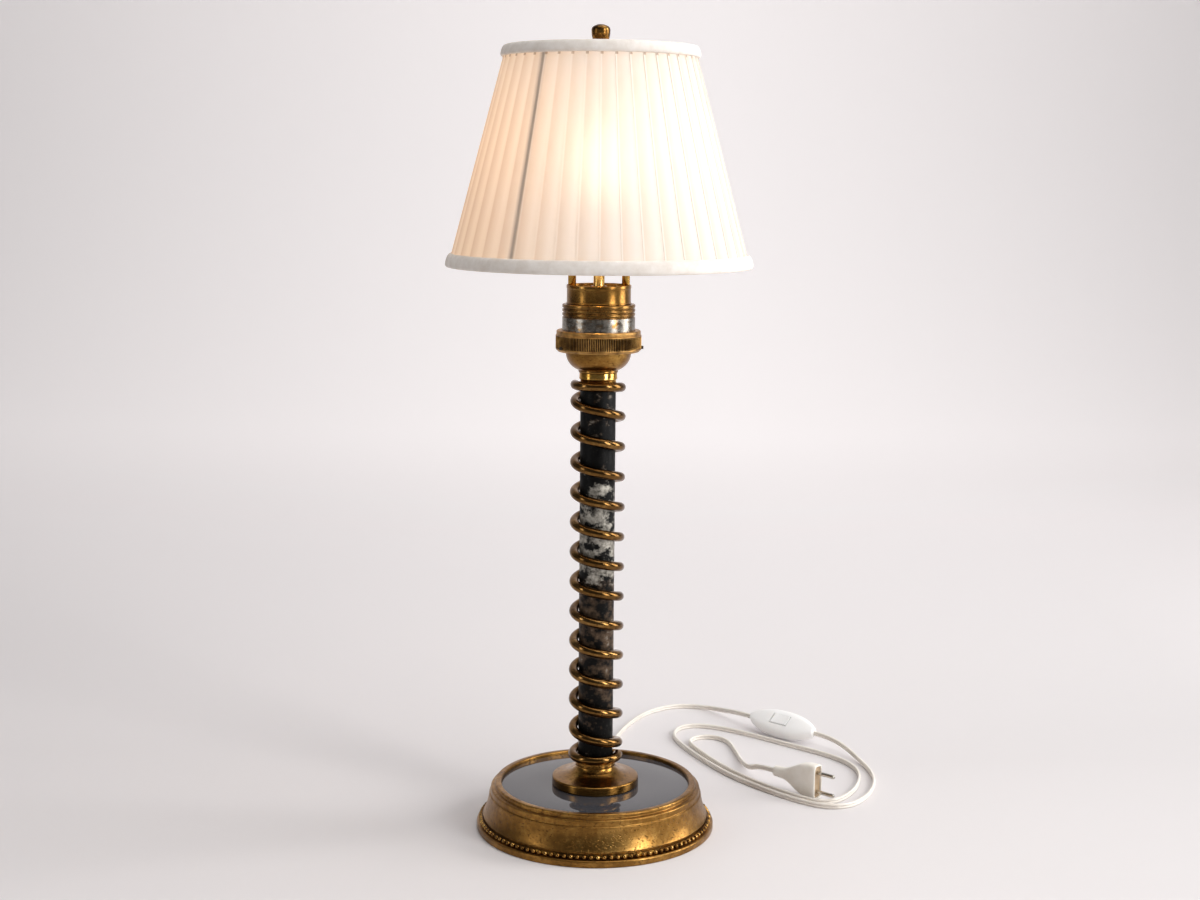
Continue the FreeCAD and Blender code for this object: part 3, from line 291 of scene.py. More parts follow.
def patina_iron():
    """Near-black film with fine specks, brown low down, worn to silver in the upper middle."""
    material, tree, output = blank("patina_iron")
    place = node(tree, "ShaderNodeTexCoord").outputs["Object"]
    height = node(tree, "ShaderNodeSeparateXYZ", {0: place}).outputs[2]
    rubbed = between(tree, height, RUBBED_ZONE)
    rusty = between(tree, height, RUSTY_ZONE)
    cloud = noise(tree, 14, 6.0, stretch=(1.0, 1.0, 1.3), rough=0.65)
    worn = spread(tree, math_node(tree, "ADD", cloud, math_node(tree, "MULTIPLY", rubbed, 0.19)), 0.62, 0.72)
    brown = spread(tree, math_node(tree, "ADD", cloud, math_node(tree, "MULTIPLY", rusty, 0.13)), 0.58, 0.76)
    speck = spread(tree, noise(tree, 1.6, 2.0), 0.62, 0.74)
    dark = ramp(tree, noise(tree, 6, 4.0), [(0.3, "020202"), (0.7, "0C0B0A")])
    specked = node(tree, "ShaderNodeMix", {0: math_node(tree, "MULTIPLY", speck, 0.4), 6: dark,
                                           7: linear("47443F")}, data_type="RGBA").outputs[2]
    browned = node(tree, "ShaderNodeMix", {0: math_node(tree, "MULTIPLY", brown, 0.8), 6: specked,
                                           7: linear("6A5644")}, data_type="RGBA").outputs[2]
    silver = ramp(tree, noise(tree, 3.5, 4.0), [(0.35, "77736B"), (0.65, "BEB9AE")])
    colour = node(tree, "ShaderNodeMix", {0: worn, 6: browned, 7: silver}, data_type="RGBA").outputs[2]
    rough = spread(tree, noise(tree, 5, 3.0), 0.3, 0.7, 0.34, 0.6)
    bump = node(tree, "ShaderNodeBump", {"Height": noise(tree, 2.2, 4.0), "Strength": 0.35,
                                         "Distance": 0.2 * MM})
    shader = node(tree, "ShaderNodeBsdfPrincipled", {
        "Base Color": colour, "Roughness": rough, "Normal": bump.outputs[0],
        "Metallic": spread(tree, worn, 0.0, 1.0, 0.0, 0.6), "Specular IOR Level": 0.12})
    tree.links.new(shader.outputs[0], output.inputs[0])
    return material


def plain(name, code, roughness=0.45, shade=None, size=8.0, bump=0.0, bump_size=1.0, **settings):
    """A non-metal whose colour drifts a little between two codes."""
    material, tree, output = blank(name)
    colour = ramp(tree, noise(tree, size, 3.0), [(0.3, code), (0.7, shade or code)])
    inputs = {"Base Color": colour, "Roughness": roughness}
    inputs.update({key.replace("_", " "): value for key, value in settings.items()})
    if bump:
        made = node(tree, "ShaderNodeBump", {"Height": noise(tree, bump_size, 2.0), "Strength": bump,
                                             "Distance": 0.1 * MM})
        inputs["Normal"] = made.outputs[0]
    shader = node(tree, "ShaderNodeBsdfPrincipled", inputs)
    tree.links.new(shader.outputs[0], output.inputs[0])
    return material


iron = patina_iron()
# Black glass is a hard mirror. Its own grey stands for part of the backdrop that it mirrors.
black_glass = plain("black_glass", "3E3E42", 0.02, "424246", IOR=1.6)
# Soft extruded PVC is satin, the moulded switch is glossy and the older plug is duller.
pvc = plain("cord_pvc", "E2DAD0", 0.42, "EBE5DD", size=30, bump=0.1)
switch_white = plain("switch_white", "F7F6F5", 0.3, "F2F0EE", size=40)
plug_white = plain("plug_white", "F0EBE3", 0.4, "E6DFD4", size=12, bump=0.15)
# Felt drinks light; rubber, glazed porcelain and painted wire stay pale.
felt = plain("felt", "20201E", 0.95, "2C2B28", size=1.2, bump=0.6, bump_size=0.5)
rubber = plain("rubber", "D0C8BE", 0.6, "C4BBB0")
porcelain = plain("porcelain", "E8E2D6", 0.25)
wire_paint = plain("painted_wire", "D8D2C6", 0.5)
print("plain finishes:", len(bpy.data.materials))

# %% [markdown]
# The camera stands in front at about the height of the gallery and looks a little down. Its
# place and lens were found from the known heights and widths of the lamp in the photograph.

# %% Camera
CAMERA_PLACE = (0.0021, -1.610, 0.604)
CAMERA_DOWN = math.radians(8.84)
CAMERA_ROLL = math.radians(0.458)
camera = bpy.data.cameras.new("camera")
camera.lens = 54.0
camera.sensor_width = 36.0
viewer = bpy.data.objects.new("camera", camera)
viewer.matrix_world = (Matrix.Translation(CAMERA_PLACE) @ Matrix.Rotation(math.pi / 2 - CAMERA_DOWN, 4, "X")
                       @ Matrix.Rotation(CAMERA_ROLL, 4, "Z"))
bpy.context.scene.collection.objects.link(viewer)
bpy.context.scene.camera = viewer
print("camera at", CAMERA_PLACE)

# %% [markdown]
# The cord is a flat twin lead: two round cores side by side in white PVC. It comes out of a
# rubber bush behind the base, runs to the in-line switch, lies in two long loops on the table
# and ends in the plug. A real one is extruded, so it is made as one section swept along a
# smooth curve. The curve is a B-spline through the same points as the CAD, and the
# section stands on edge, as a flat lead does in a tight loop.

# %% Cord
FLOOR = 2.7
WALL = 103.8
CORD_START = (0.0, 98.8, 19.0)
LEAD_ROUTE = [
    (0.0, 16.2, 19.0), (0.6, 38.2, 16.6), (3.0, 60.2, 9.4), (8.0, 83.2, 3.2),
    (14.0, 112.2, FLOOR), (22.0, 148.2, FLOOR), (36.0, 196.2, FLOOR), (58.0, 240.2, FLOOR),
    (88.0, 264.2, FLOOR), (118.0, 262.2, FLOOR), (141.0, 239.2, 6.0),
]
LOOP_ROUTE = [
    (262.0, 102.2, 8.5), (273.0, 76.2, 3.2), (280.0, 44.2, FLOOR), (279.0, 8.2, FLOOR),
    (267.0, -29.8, FLOOR), (246.0, -57.8, FLOOR), (222.0, -61.8, FLOOR), (195.0, -43.8, FLOOR),
    (164.0, -10.8, FLOOR), (136.0, 26.2, FLOOR), (114.0, 68.2, FLOOR), (95.0, 112.2, FLOOR),
    (82.0, 152.2, FLOOR), (90.0, 184.2, FLOOR), (114.0, 193.2, FLOOR), (142.0, 180.2, FLOOR),
    (176.0, 153.2, FLOOR), (208.0, 124.2, FLOOR), (238.0, 99.2, FLOOR), (262.0, 68.2, FLOOR),
    (268.0, 36.2, FLOOR), (261.0, 0.2, FLOOR), (248.0, -27.8, FLOOR), (232.0, -46.8, FLOOR),
    (213.0, -47.8, FLOOR), (190.0, -26.8, FLOOR), (166.0, -0.8, FLOOR), (142.0, 33.2, FLOOR),
    (120.0, 75.2, FLOOR), (103.0, 118.2, FLOOR), (99.0, 134.2, FLOOR), (106.5, 148.2, FLOOR),
    (121.8, 153.0, FLOOR), (136.0, 145.2, FLOOR), (143.0, 130.2, FLOOR), (147.0, 101.2, FLOOR),
    (151.0, 64.2, 3.4), (156.0, 34.2, 8.5),
]
SWITCH = Matrix.Translation((202.0, 266.0, 13.5)) @ Matrix.Rotation(math.radians(-43.4), 4, "Z") \
    @ Matrix.Rotation(math.radians(38.0), 4, "X")
PLUG = Matrix.Translation((178.0, 104.0, 17.6)) @ Matrix.Rotation(math.radians(-42.0), 4, "Z")
SWITCH_HALF = 42.0
STRAIGHT = 20.0


def placed(place, points):
    """Points in millimetres moved by a 4 x 4 placement."""
    turn = np.array(place)
    return points @ turn[:3, :3].T + turn[:3, 3]


def spline_points(name, route):
    """Dense points of the B-spline whose control points are the route, in millimetres."""
    curve = bpy.data.curves.new(name, "CURVE")
    curve.dimensions = "3D"
    curve.resolution_u = 8
    spline = curve.splines.new("NURBS")
    spline.points.add(len(route) - 1)
    for point, place in zip(spline.points, route):
        point.co = (*[v * MM for v in place], 1.0)
    spline.order_u = 3
    spline.use_endpoint_u = True
    thing = bpy.data.objects.new(name, curve)
    line = bpy.data.meshes.new_from_object(thing)
    points = np.array([vertex.co[:] for vertex in line.vertices]) / MM
    bpy.data.objects.remove(thing)
    return points


def tangents(line):
    """Unit directions along a line of points."""
    ways = np.gradient(line, axis=0)
    return ways / np.linalg.norm(ways, axis=1)[:, None]


def swept(line, section, up=(0.0, 0.0, 1.0)):
    """A flat section of (across, along up) carried along a line of points."""
    ways = tangents(line)
    side = np.cross(ways, np.asarray(up) + 0 * ways)
    side /= np.linalg.norm(side, axis=1)[:, None]
    rise = np.cross(side, ways)
    section = np.asarray(section)
    return (line[:, None, :] + side[:, None, :] * section[None, :, :1]
            + rise[:, None, :] * section[None, :, 1:2])


def capped(points):
    """Closes both ends of a swept grid with a last row drawn in to its middle."""
    ends = [np.repeat(row.mean(axis=0)[None], points.shape[1], axis=0)[None]
            for row in (points[0], points[-1])]
    return np.concatenate([ends[0], points, ends[1]])


def twin_section(core=1.38, apart=1.32, steps=9):
    """Two round cores joined by a web: the waist lies where the circles cross."""
    waist = math.acos(apart / core) * 0.6
    arc = np.linspace(-math.pi / 2 + waist, 1.5 * math.pi - waist, steps)
    upper = np.stack([core * np.cos(arc), apart + core * np.sin(arc)], axis=1)
    return np.concatenate([upper, -upper])


lead_end = [placed(SWITCH, np.array((-SWITCH_HALF - STRAIGHT, 0.0, 0.0))),
            placed(SWITCH, np.array((-SWITCH_HALF, 0.0, 0.0)))]
loop_start = [placed(SWITCH, np.array((SWITCH_HALF, 0.0, 0.0))),
              placed(SWITCH, np.array((SWITCH_HALF + STRAIGHT, 0.0, 0.0)))]
loop_end = [placed(PLUG, np.array((-STRAIGHT, 0.0, 0.0))), placed(PLUG, np.zeros(3))]
routes = {
    "cord_lead_look": [CORD_START] + [(x, WALL + y, z) for x, y, z in LEAD_ROUTE] + lead_end,
    "cord_loops_look": loop_start + [(x, WALL + y, z) for x, y, z in LOOP_ROUTE] + loop_end,
}
cords = {}
for name, route in routes.items():
    line = spline_points(name, [tuple(float(v) for v in place) for place in route])
    cords[name] = piece(name, capped(swept(line, twin_section())), pvc, crease=60)
    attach(cords[name], "lamp")
    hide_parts(name.replace("_look", ""))

# %% [markdown]
# The strain relief is a moulded rubber bush: a flange against the wall and a tail that tapers
# towards the cord, so the cord bends gently where it leaves. It is turned about the cord's
# way out, which points backwards.

# %% Strain relief
BUSH_FACE = 104.1


def backward(outline, columns=48):
    """An outline of (radius, distance behind the wall) turned about the cord's way out."""
    grid = revolved(outline, columns)
    return np.stack([grid[..., 0], BUSH_FACE + grid[..., 2], CORD_START[2] + grid[..., 1]], axis=-1)


bush = piece("cord_bush_look", backward(bent([
    (3.1, -6), (4.5, -6), (4.5, 0), (6.6, 0), (6.4, 1.6), (5.4, 2.4), (4.6, 2.6), (4.4, 7.0),
    (4.6, 7.4), (4.2, 7.8), (4.0, 11.0), (4.2, 11.4), (3.8, 11.8), (3.8, 15.3), (3.1, 15.4)], 0.3)),
    rubber, round_rows=True)
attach(bush, "lamp")
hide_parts("cord_bush")
print("bush:", len(bush.data.polygons), "faces")

# %% [markdown]
# The base was turned from a casting: a flange, a row of beads, a hollow curve up to the
# shoulder, two fine steps and a rolled lip that holds the glass. Turning means one outline
# revolved about the axis, so each piece here is an outline with its sharp corners rounded
# off, which is what catches a line of light on real metal.

# %% Base, glass and collar
turned("base_shell_look", [
    (100.8, 0), (109.4, 0), (110, 0.6), (110, 4.6), (108.8, 6.2, 1.6), (103.8, 6.2), (103.8, 11.9),
    (104.3, 12.3), (103.5, 13.2), (98.4, 32.5, -62), (97.6, 32.7), (97.2, 33.2), (97.1, 34.5),
    (97.0, 37.2), (95.6, 38.6, 1.5), (93.6, 38.9), (93.2, 39.4), (93.3, 41.2), (91.5, 43, 1.9), (88.4, 43),
    (87.0, 41.6, 1.5), (87, 36), (5.4, 36), (5.4, 33), (92.8, 33), (100.8, 12.6)],
    brass_cast, soft=0.3, columns=256)

BEADS = 112
BEAD_RING = 106.3
BEAD_HEIGHT = 8.4


def bead_grid(radius=2.0, rows=9, columns=14):
    """One round bead: a sphere, as angles from its foot to its top and round it."""
    lean = np.linspace(-math.pi / 2, math.pi / 2, rows)[:, None]
    turn = 2 * math.pi * np.arange(columns)[None] / columns
    return radius * np.stack([np.cos(lean) * np.cos(turn), np.cos(lean) * np.sin(turn),
                              np.sin(lean) + 0 * turn], axis=-1)


def bead_row():
    """All beads as points and faces: copies of one bead, set half a step round from the X axis."""
    verts = []
    faces = []
    bead = bead_grid()
    rows, columns = bead.shape[:2]
    grid = np.arange(rows * columns).reshape(rows, columns)
    grid = np.hstack([grid, grid[:, :1]])
    quads = np.stack([grid[:-1, :-1], grid[:-1, 1:], grid[1:, 1:], grid[1:, :-1]], axis=-1).reshape(-1, 4)
    for index in range(BEADS):
        angle = 2 * math.pi * (index + 0.5) / BEADS
        middle = np.array((BEAD_RING * math.cos(angle), BEAD_RING * math.sin(angle), BEAD_HEIGHT))
        faces.append(quads + len(verts) * rows * columns)
        verts.append(bead.reshape(-1, 3) + middle)
    return np.concatenate(verts), np.concatenate(faces)


beads = shaped("bead_border_look", *bead_row(), brass_bead, crease=180)
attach(beads, "lamp")
# Dark brass between the beads: tarnish and painted shade in the gaps.
turned("bead_wire_look", [(104.1, 7.0), (105.4, 6.6), (105.9, 8.4), (105.4, 10.2), (104.1, 9.8)],
       brass_tarnish_and_shade, soft=0.3, columns=256, replaces=["bead_border"])
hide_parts("bead_border")
turned("glass_disc_look", [(5.4, 36), (86.7, 36), (86.7, 40), (5.4, 40)], black_glass, soft=0.15, columns=192)
turned("foot_collar_look", [
    (5.1, 40), (38.5, 40), (40, 41.5, 1.5), (40, 46.8), (38.4, 48.5, 1.7), (32.0, 49.4), (26.5, 51.0, -40),
    (20.7, 54.5, -14), (18.1, 57.4, -8), (17.8, 58.6), (18.3, 59.0), (18.3, 60.0), (17.8, 60.4),
    (17.8, 64.2), (16.1, 64.5), (16.1, 46), (5.1, 46)], brass_turned, soft=0.4)
print("base:", BEADS, "beads", round(2 * math.pi * BEAD_RING / BEADS, 2), "mm apart")

# %% [markdown]
# The brass rod winds 13.5 times about the column, left-handed: a level ring at each end and an
# even pitch between. A smith would wind it over a mandrel. Here its middle line is a formula
# of the turn, and a round section follows it.

# %% Column and wound rod
COIL_TURNS = 13.5
COIL_LOW = 67.88
COIL_PITCH = 27.7
COIL_RADIUS = 20.8
ROD = 4.3
TOP_FLAT = (0.22, 0.70)
FOOT_FLAT = (0.32, 0.82)


def fallen(turn, start, full):
    """Pitches fallen after so many turns: level to start, growing evenly to full, then one a turn."""
    growing = (turn - start) ** 2 / 2 / (full - start)
    return np.where(turn <= start, 0.0, np.where(turn <= full, growing, turn - (start + full) / 2))


def rod_line(steps=40):
    """The rod's middle from the top down: a circle round the column whose height is the pitches
    fallen, counted from each end to half way."""
    turn = np.linspace(0, COIL_TURNS, int(COIL_TURNS * steps) + 1)
    whole = COIL_TURNS - (sum(TOP_FLAT) + sum(FOOT_FLAT)) / 2
    drop = np.where(turn <= COIL_TURNS / 2, fallen(turn, *TOP_FLAT),
                    whole - fallen(COIL_TURNS - turn, *FOOT_FLAT))
    angle = math.pi + 2 * math.pi * turn
    return np.stack([COIL_RADIUS * np.cos(angle), COIL_RADIUS * np.sin(angle),
                     COIL_LOW + (whole - drop) * COIL_PITCH], axis=1)


around = 2 * math.pi * np.arange(20) / 20
rod = piece("spiral_rod_look", capped(swept(rod_line(), ROD * np.stack([np.cos(around), np.sin(around)], 1))),
            brass_rod, crease=50)
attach(rod, "lamp")
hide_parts("spiral_rod")
turned("column_tube_look", [(14, 46), (16, 46), (16, 414), (14, 414)], iron, soft=0.2)
turned("threaded_pipe_look", [(4, 24), (5, 24), (5, 524), (4, 524)], brass_bright, soft=0.2, columns=48)
turned("neck_ferrule_look", [(5.1, 404), (13.95, 404), (13.95, 414), (16.2, 414), (16.2, 418.4),
                             (17.3, 418.8), (17.3, 419.6), (17.0, 420.0), (17.0, 424.4), (5.1, 424.4)],
       brass_bright, soft=0.35, columns=96)
print("rod: length", round(float(np.linalg.norm(np.diff(rod_line(), axis=0), axis=1).sum())), "mm")

# %% [markdown]
# The lampholder gallery is a stack of turned brass: a cup, a fluted union ring that screws up
# against it, a grooved barrel, and a thin sleeve with a sunk deck. The ring's flutes are a
# ripple in its radius, fullest half way up the fluted band and gone at both edges.

# %% Gallery
turned("holder_cup_look", [
    (5.1, 424.6), (17.6, 424.6), (18.0, 425.6), (17.6, 426.6), (29.5, 443.5, 17), (29.5, 446.1),
    (32, 446.1), (32, 447.7), (27.9, 447.7), (27.9, 443.5), (16.2, 428.6, -15.4), (5.1, 428.6)],
    brass_turned, soft=0.4, columns=128)

FLUTES = 150
FLUTE_LOW, FLUTE_HIGH = 446.4, 457.6
RING_PROFILE = [
    (29.9, 443.5), (36.6, 443.5), (37.0, 444.4), (38.0, 444.9), (38.5, 445.7), (38.5, 446.4),
    (38.5, 447.0), (38.5, 448), (38.5, 450), (38.5, 452), (38.5, 454), (38.5, 456), (38.5, 457.0),
    (38.5, 457.6), (38.5, 458.4), (37.6, 458.8), (37.8, 459.3), (37.8, 461.8), (37.1, 462.5),
    (33.0, 462.5), (33.0, 445.9), (29.9, 445.9)]


def fluted_brass():
    """Dark brass whose film is left in the valleys of the flutes and rubbed off their tops."""
    material, tree, output = blank("brass_fluted")
    parts = node(tree, "ShaderNodeSeparateXYZ", {0: node(tree, "ShaderNodeTexCoord").outputs["Object"]})
    angle = math_node(tree, "ARCTAN2", parts.outputs[1], parts.outputs[0])
    crest = math_node(tree, "COSINE", math_node(tree, "MULTIPLY", angle, float(FLUTES)))
    height = math_node(tree, "ABSOLUTE", math_node(
        tree, "SUBTRACT", parts.outputs[2], (FLUTE_LOW + FLUTE_HIGH) / 2 * MM))
    outside = spread(tree, height, 5.2 * MM, 5.8 * MM)
    rubbed = math_node(tree, "MAXIMUM", spread(tree, crest, -0.3, 0.9), outside)
    level = math_node(tree, "MULTIPLY", rubbed, spread(tree, noise(tree, 7, 4.0), 0.3, 0.7, 0.5, 1.0))
    colour = ramp(tree, level, [(0.0, "140C06"), (1.0, "CC9E5C"), (0.4, "52371C")])
    shader = node(tree, "ShaderNodeBsdfPrincipled", {"Base Color": colour, "Roughness": 0.38,
                                                     "Metallic": 1.0})
    tree.links.new(shader.outputs[0], output.inputs[0])
    return material


def silvered_brass():
    """The barrel's plating: worn silver below its grooves, brown brass elsewhere."""
    material, tree, output = blank("brass_silvered")
    parts = node(tree, "ShaderNodeSeparateXYZ", {0: node(tree, "ShaderNodeTexCoord").outputs["Object"]})
    below = spread(tree, parts.outputs[2], 0.4735, 0.4750, 1.0, 0.0)
    cloud = noise(tree, 9, 5.0, stretch=(1.0, 1.0, 1.6))
    plated = math_node(tree, "MULTIPLY", below, spread(tree, cloud, 0.34, 0.50))
    brown = ramp(tree, noise(tree, 8, 4.0), [(0.3, "4A3016"), (0.7, "A57C42")])
    silver = ramp(tree, noise(tree, 4, 4.0), [(0.3, "6E675E"), (0.7, "ABA69D")])
    colour = node(tree, "ShaderNodeMix", {0: plated, 6: brown, 7: silver}, data_type="RGBA").outputs[2]
    bump = node(tree, "ShaderNodeBump", {"Height": noise(tree, 2.2, 3.0), "Strength": 0.3,
                                         "Distance": 0.15 * MM})
    shader = node(tree, "ShaderNodeBsdfPrincipled", {
        "Base Color": colour, "Roughness": spread(tree, cloud, 0.3, 0.7, 0.2, 0.32),
        "Metallic": 1.0, "Normal": bump.outputs[0]})
    tree.links.new(shader.outputs[0], output.inputs[0])
    return material


brass_fluted = fluted_brass()
brass_silvered = silvered_brass()


def fluted(outline, count=FLUTES, per_flute=8, depth=0.9):
    """The ring's grid: every flute is one dip of a cosine, cut with the height between low and high."""
    grid = revolved(outline, count * per_flute)
    phase = np.cos(2 * math.pi * np.arange(count * per_flute) / per_flute)
    share = np.clip((outline[:, 1] - FLUTE_LOW) / (FLUTE_HIGH - FLUTE_LOW), 0, 1)
    window = np.clip(16 * share * (1 - share), 0, 1) * (outline[:, 0] > 38)
    cut = 1 - depth * window[:, None] * (0.5 - 0.5 * phase[None]) / outline[:, :1]
    grid[..., :2] *= cut[..., None]
    return grid


ring = piece("fluted_ring_look", fluted(bent(RING_PROFILE, 0.15)), brass_fluted, round_rows=True, crease=50)
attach(ring, "union_ring")
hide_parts("fluted_ring")

BARREL_TOP = 485.9
GROOVE_STEP = 3.6
SUPPORT_OFFSET = 24.0
GROOVES = []
for groove in (3, 2, 1):
    middle = BARREL_TOP - GROOVE_STEP * groove
    GROOVES += [(32.7, middle - 0.8), (31.7, middle - 0.3), (31.7, middle + 0.3), (32.7, middle + 0.8)]
turned("holder_barrel_look", [(30.3, 447.9), (32.7, 447.9)] + GROOVES
       + [(32.7, 485.1), (31.9, 485.9, 0.8), (24.5, 485.9), (24.5, 483.5), (30.3, 483.5)],
       brass_silvered, soft=0.18, columns=160)
turned("gallery_sleeve_look", [(27, 485.9), (29, 485.9), (29, 487.4), (28.7, 487.7), (28.7, 499.6),
                               (29, 499.9), (29, 502.9), (28, 502.9), (28, 496.9), (27, 496.9)],
       brass_turned, soft=0.3, columns=128)
turned("gallery_deck_look", [(5.1, 496.9), (27.9, 496.9), (27.9, 498.9), (5.1, 498.9)], brass_bright,
       soft=0.2, columns=96)
for side, x in (("left", -SUPPORT_OFFSET), ("right", SUPPORT_OFFSET)):
    outline = bent([(0, 492.9), (1.5, 492.9), (1.5, 498.9), (3.6, 498.9), (3.6, 688), (1.5, 688),
                    (1.5, 696), (0, 696)], 0.25)
    grid = revolved(outline, 40) + np.array((x, 0, 0))
    rod_piece = piece("support_rod_%s_look" % side, grid, brass_bright, round_rows=True)
    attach(rod_piece, "lamp")
    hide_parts("support_rod_" + side)
print("gallery: union ring with", FLUTES, "flutes")

# %% [markdown]
# The bulb is a small frosted candle. Its glass is the lamp's own light: a warm emitter, whose
# strength was set so that the cloth in front of it just reaches white.

# %% Bulb
bulb_finish, tree, output = blank("lit_bulb")
shader = node(tree, "ShaderNodeBsdfPrincipled", {
    "Base Color": linear("FFF2DC"), "Roughness": 0.3, "Emission Color": linear("FFE9D2"),
    "Emission Strength": 15.5})
tree.links.new(shader.outputs[0], output.inputs[0])
turned("bulb_glass_look", [
    (0, 576), (8.3, 576), (17.5, 604.6, 46), (3.2, 641, 50), (0.8, 644, 4.6), (0, 644)],
    bulb_finish, soft=0.2, columns=48, body="bulb")
turned("bulb_cap_look", [(0, 548.4), (2.4, 548.4), (5.9, 551), (6.9, 553), (6.9, 573), (8.5, 576), (0, 576)],
       nickel, soft=0.3, columns=48, body="bulb")
print("bulb: cap and lit glass")

# %% [markdown]
# The shade is white cloth laid in 44 knife pleats over a wire frame. Every pleat is 10.4 mm of
# cloth folded on itself, so three layers lie there, with a single layer between it and the next.
# When the lamp is lit the folded strips look beige and the single layer glows. The folds are
# real steps in the mesh, and the layers are a change of colour across each pleat, with a thin
# painted highlight at each fold. The left side is painted a warmer orange, a painted shade where
# less room light falls; a painted rib shadow with the rib's seam darkens one strip, and brown
# thread shows at every fold under the top trim.

# %% Shade
SHADE_FOOT, SHADE_RISE = 518.5, 193.0
FOOT_RADIUS, TOP_RADIUS = 134.4, 82.4
PLEATS = 44
PLEAT_DEPTH = 1.3
PLEAT_FOLD = 10.4
RIB_ANGLE = 236.0
RIB_SHADOW = (0.6, 4.4)
STITCH_DROP = 12.2
STITCH_LENGTH = 2.4


def cloth_grid(rows=28):
    """radius(angle, height): each pleat rises to its fold edge and drops back in a short step."""
    share = np.array([0.0, 0.03, 0.12, 0.25, 0.4, 0.55, 0.7, 0.85, 0.95, 0.99])
    drop = 0.5 - share ** 0.8
    drop[-1] = -0.45
    height = np.linspace(1.0, SHADE_RISE - 1.0, rows)[:, None]
    radius = FOOT_RADIUS + (TOP_RADIUS - FOOT_RADIUS) * height / SHADE_RISE
    angle = 2 * math.pi * (np.arange(PLEATS)[:, None] + share[None]).reshape(-1)[None] / PLEATS
    random = np.random.default_rng(7)
    waver = random.normal(0, 0.0012, (1, PLEATS)).repeat(share.size, axis=1)
    waver = waver * np.sin(math.pi * height / SHADE_RISE)
    reach = radius + PLEAT_DEPTH * np.tile(drop, PLEATS)[None] * (0.7 + 0.3 * height / SHADE_RISE)
    return np.stack([reach * np.cos(angle + waver), reach * np.sin(angle + waver),
                     SHADE_FOOT + height + 0 * angle], axis=-1)


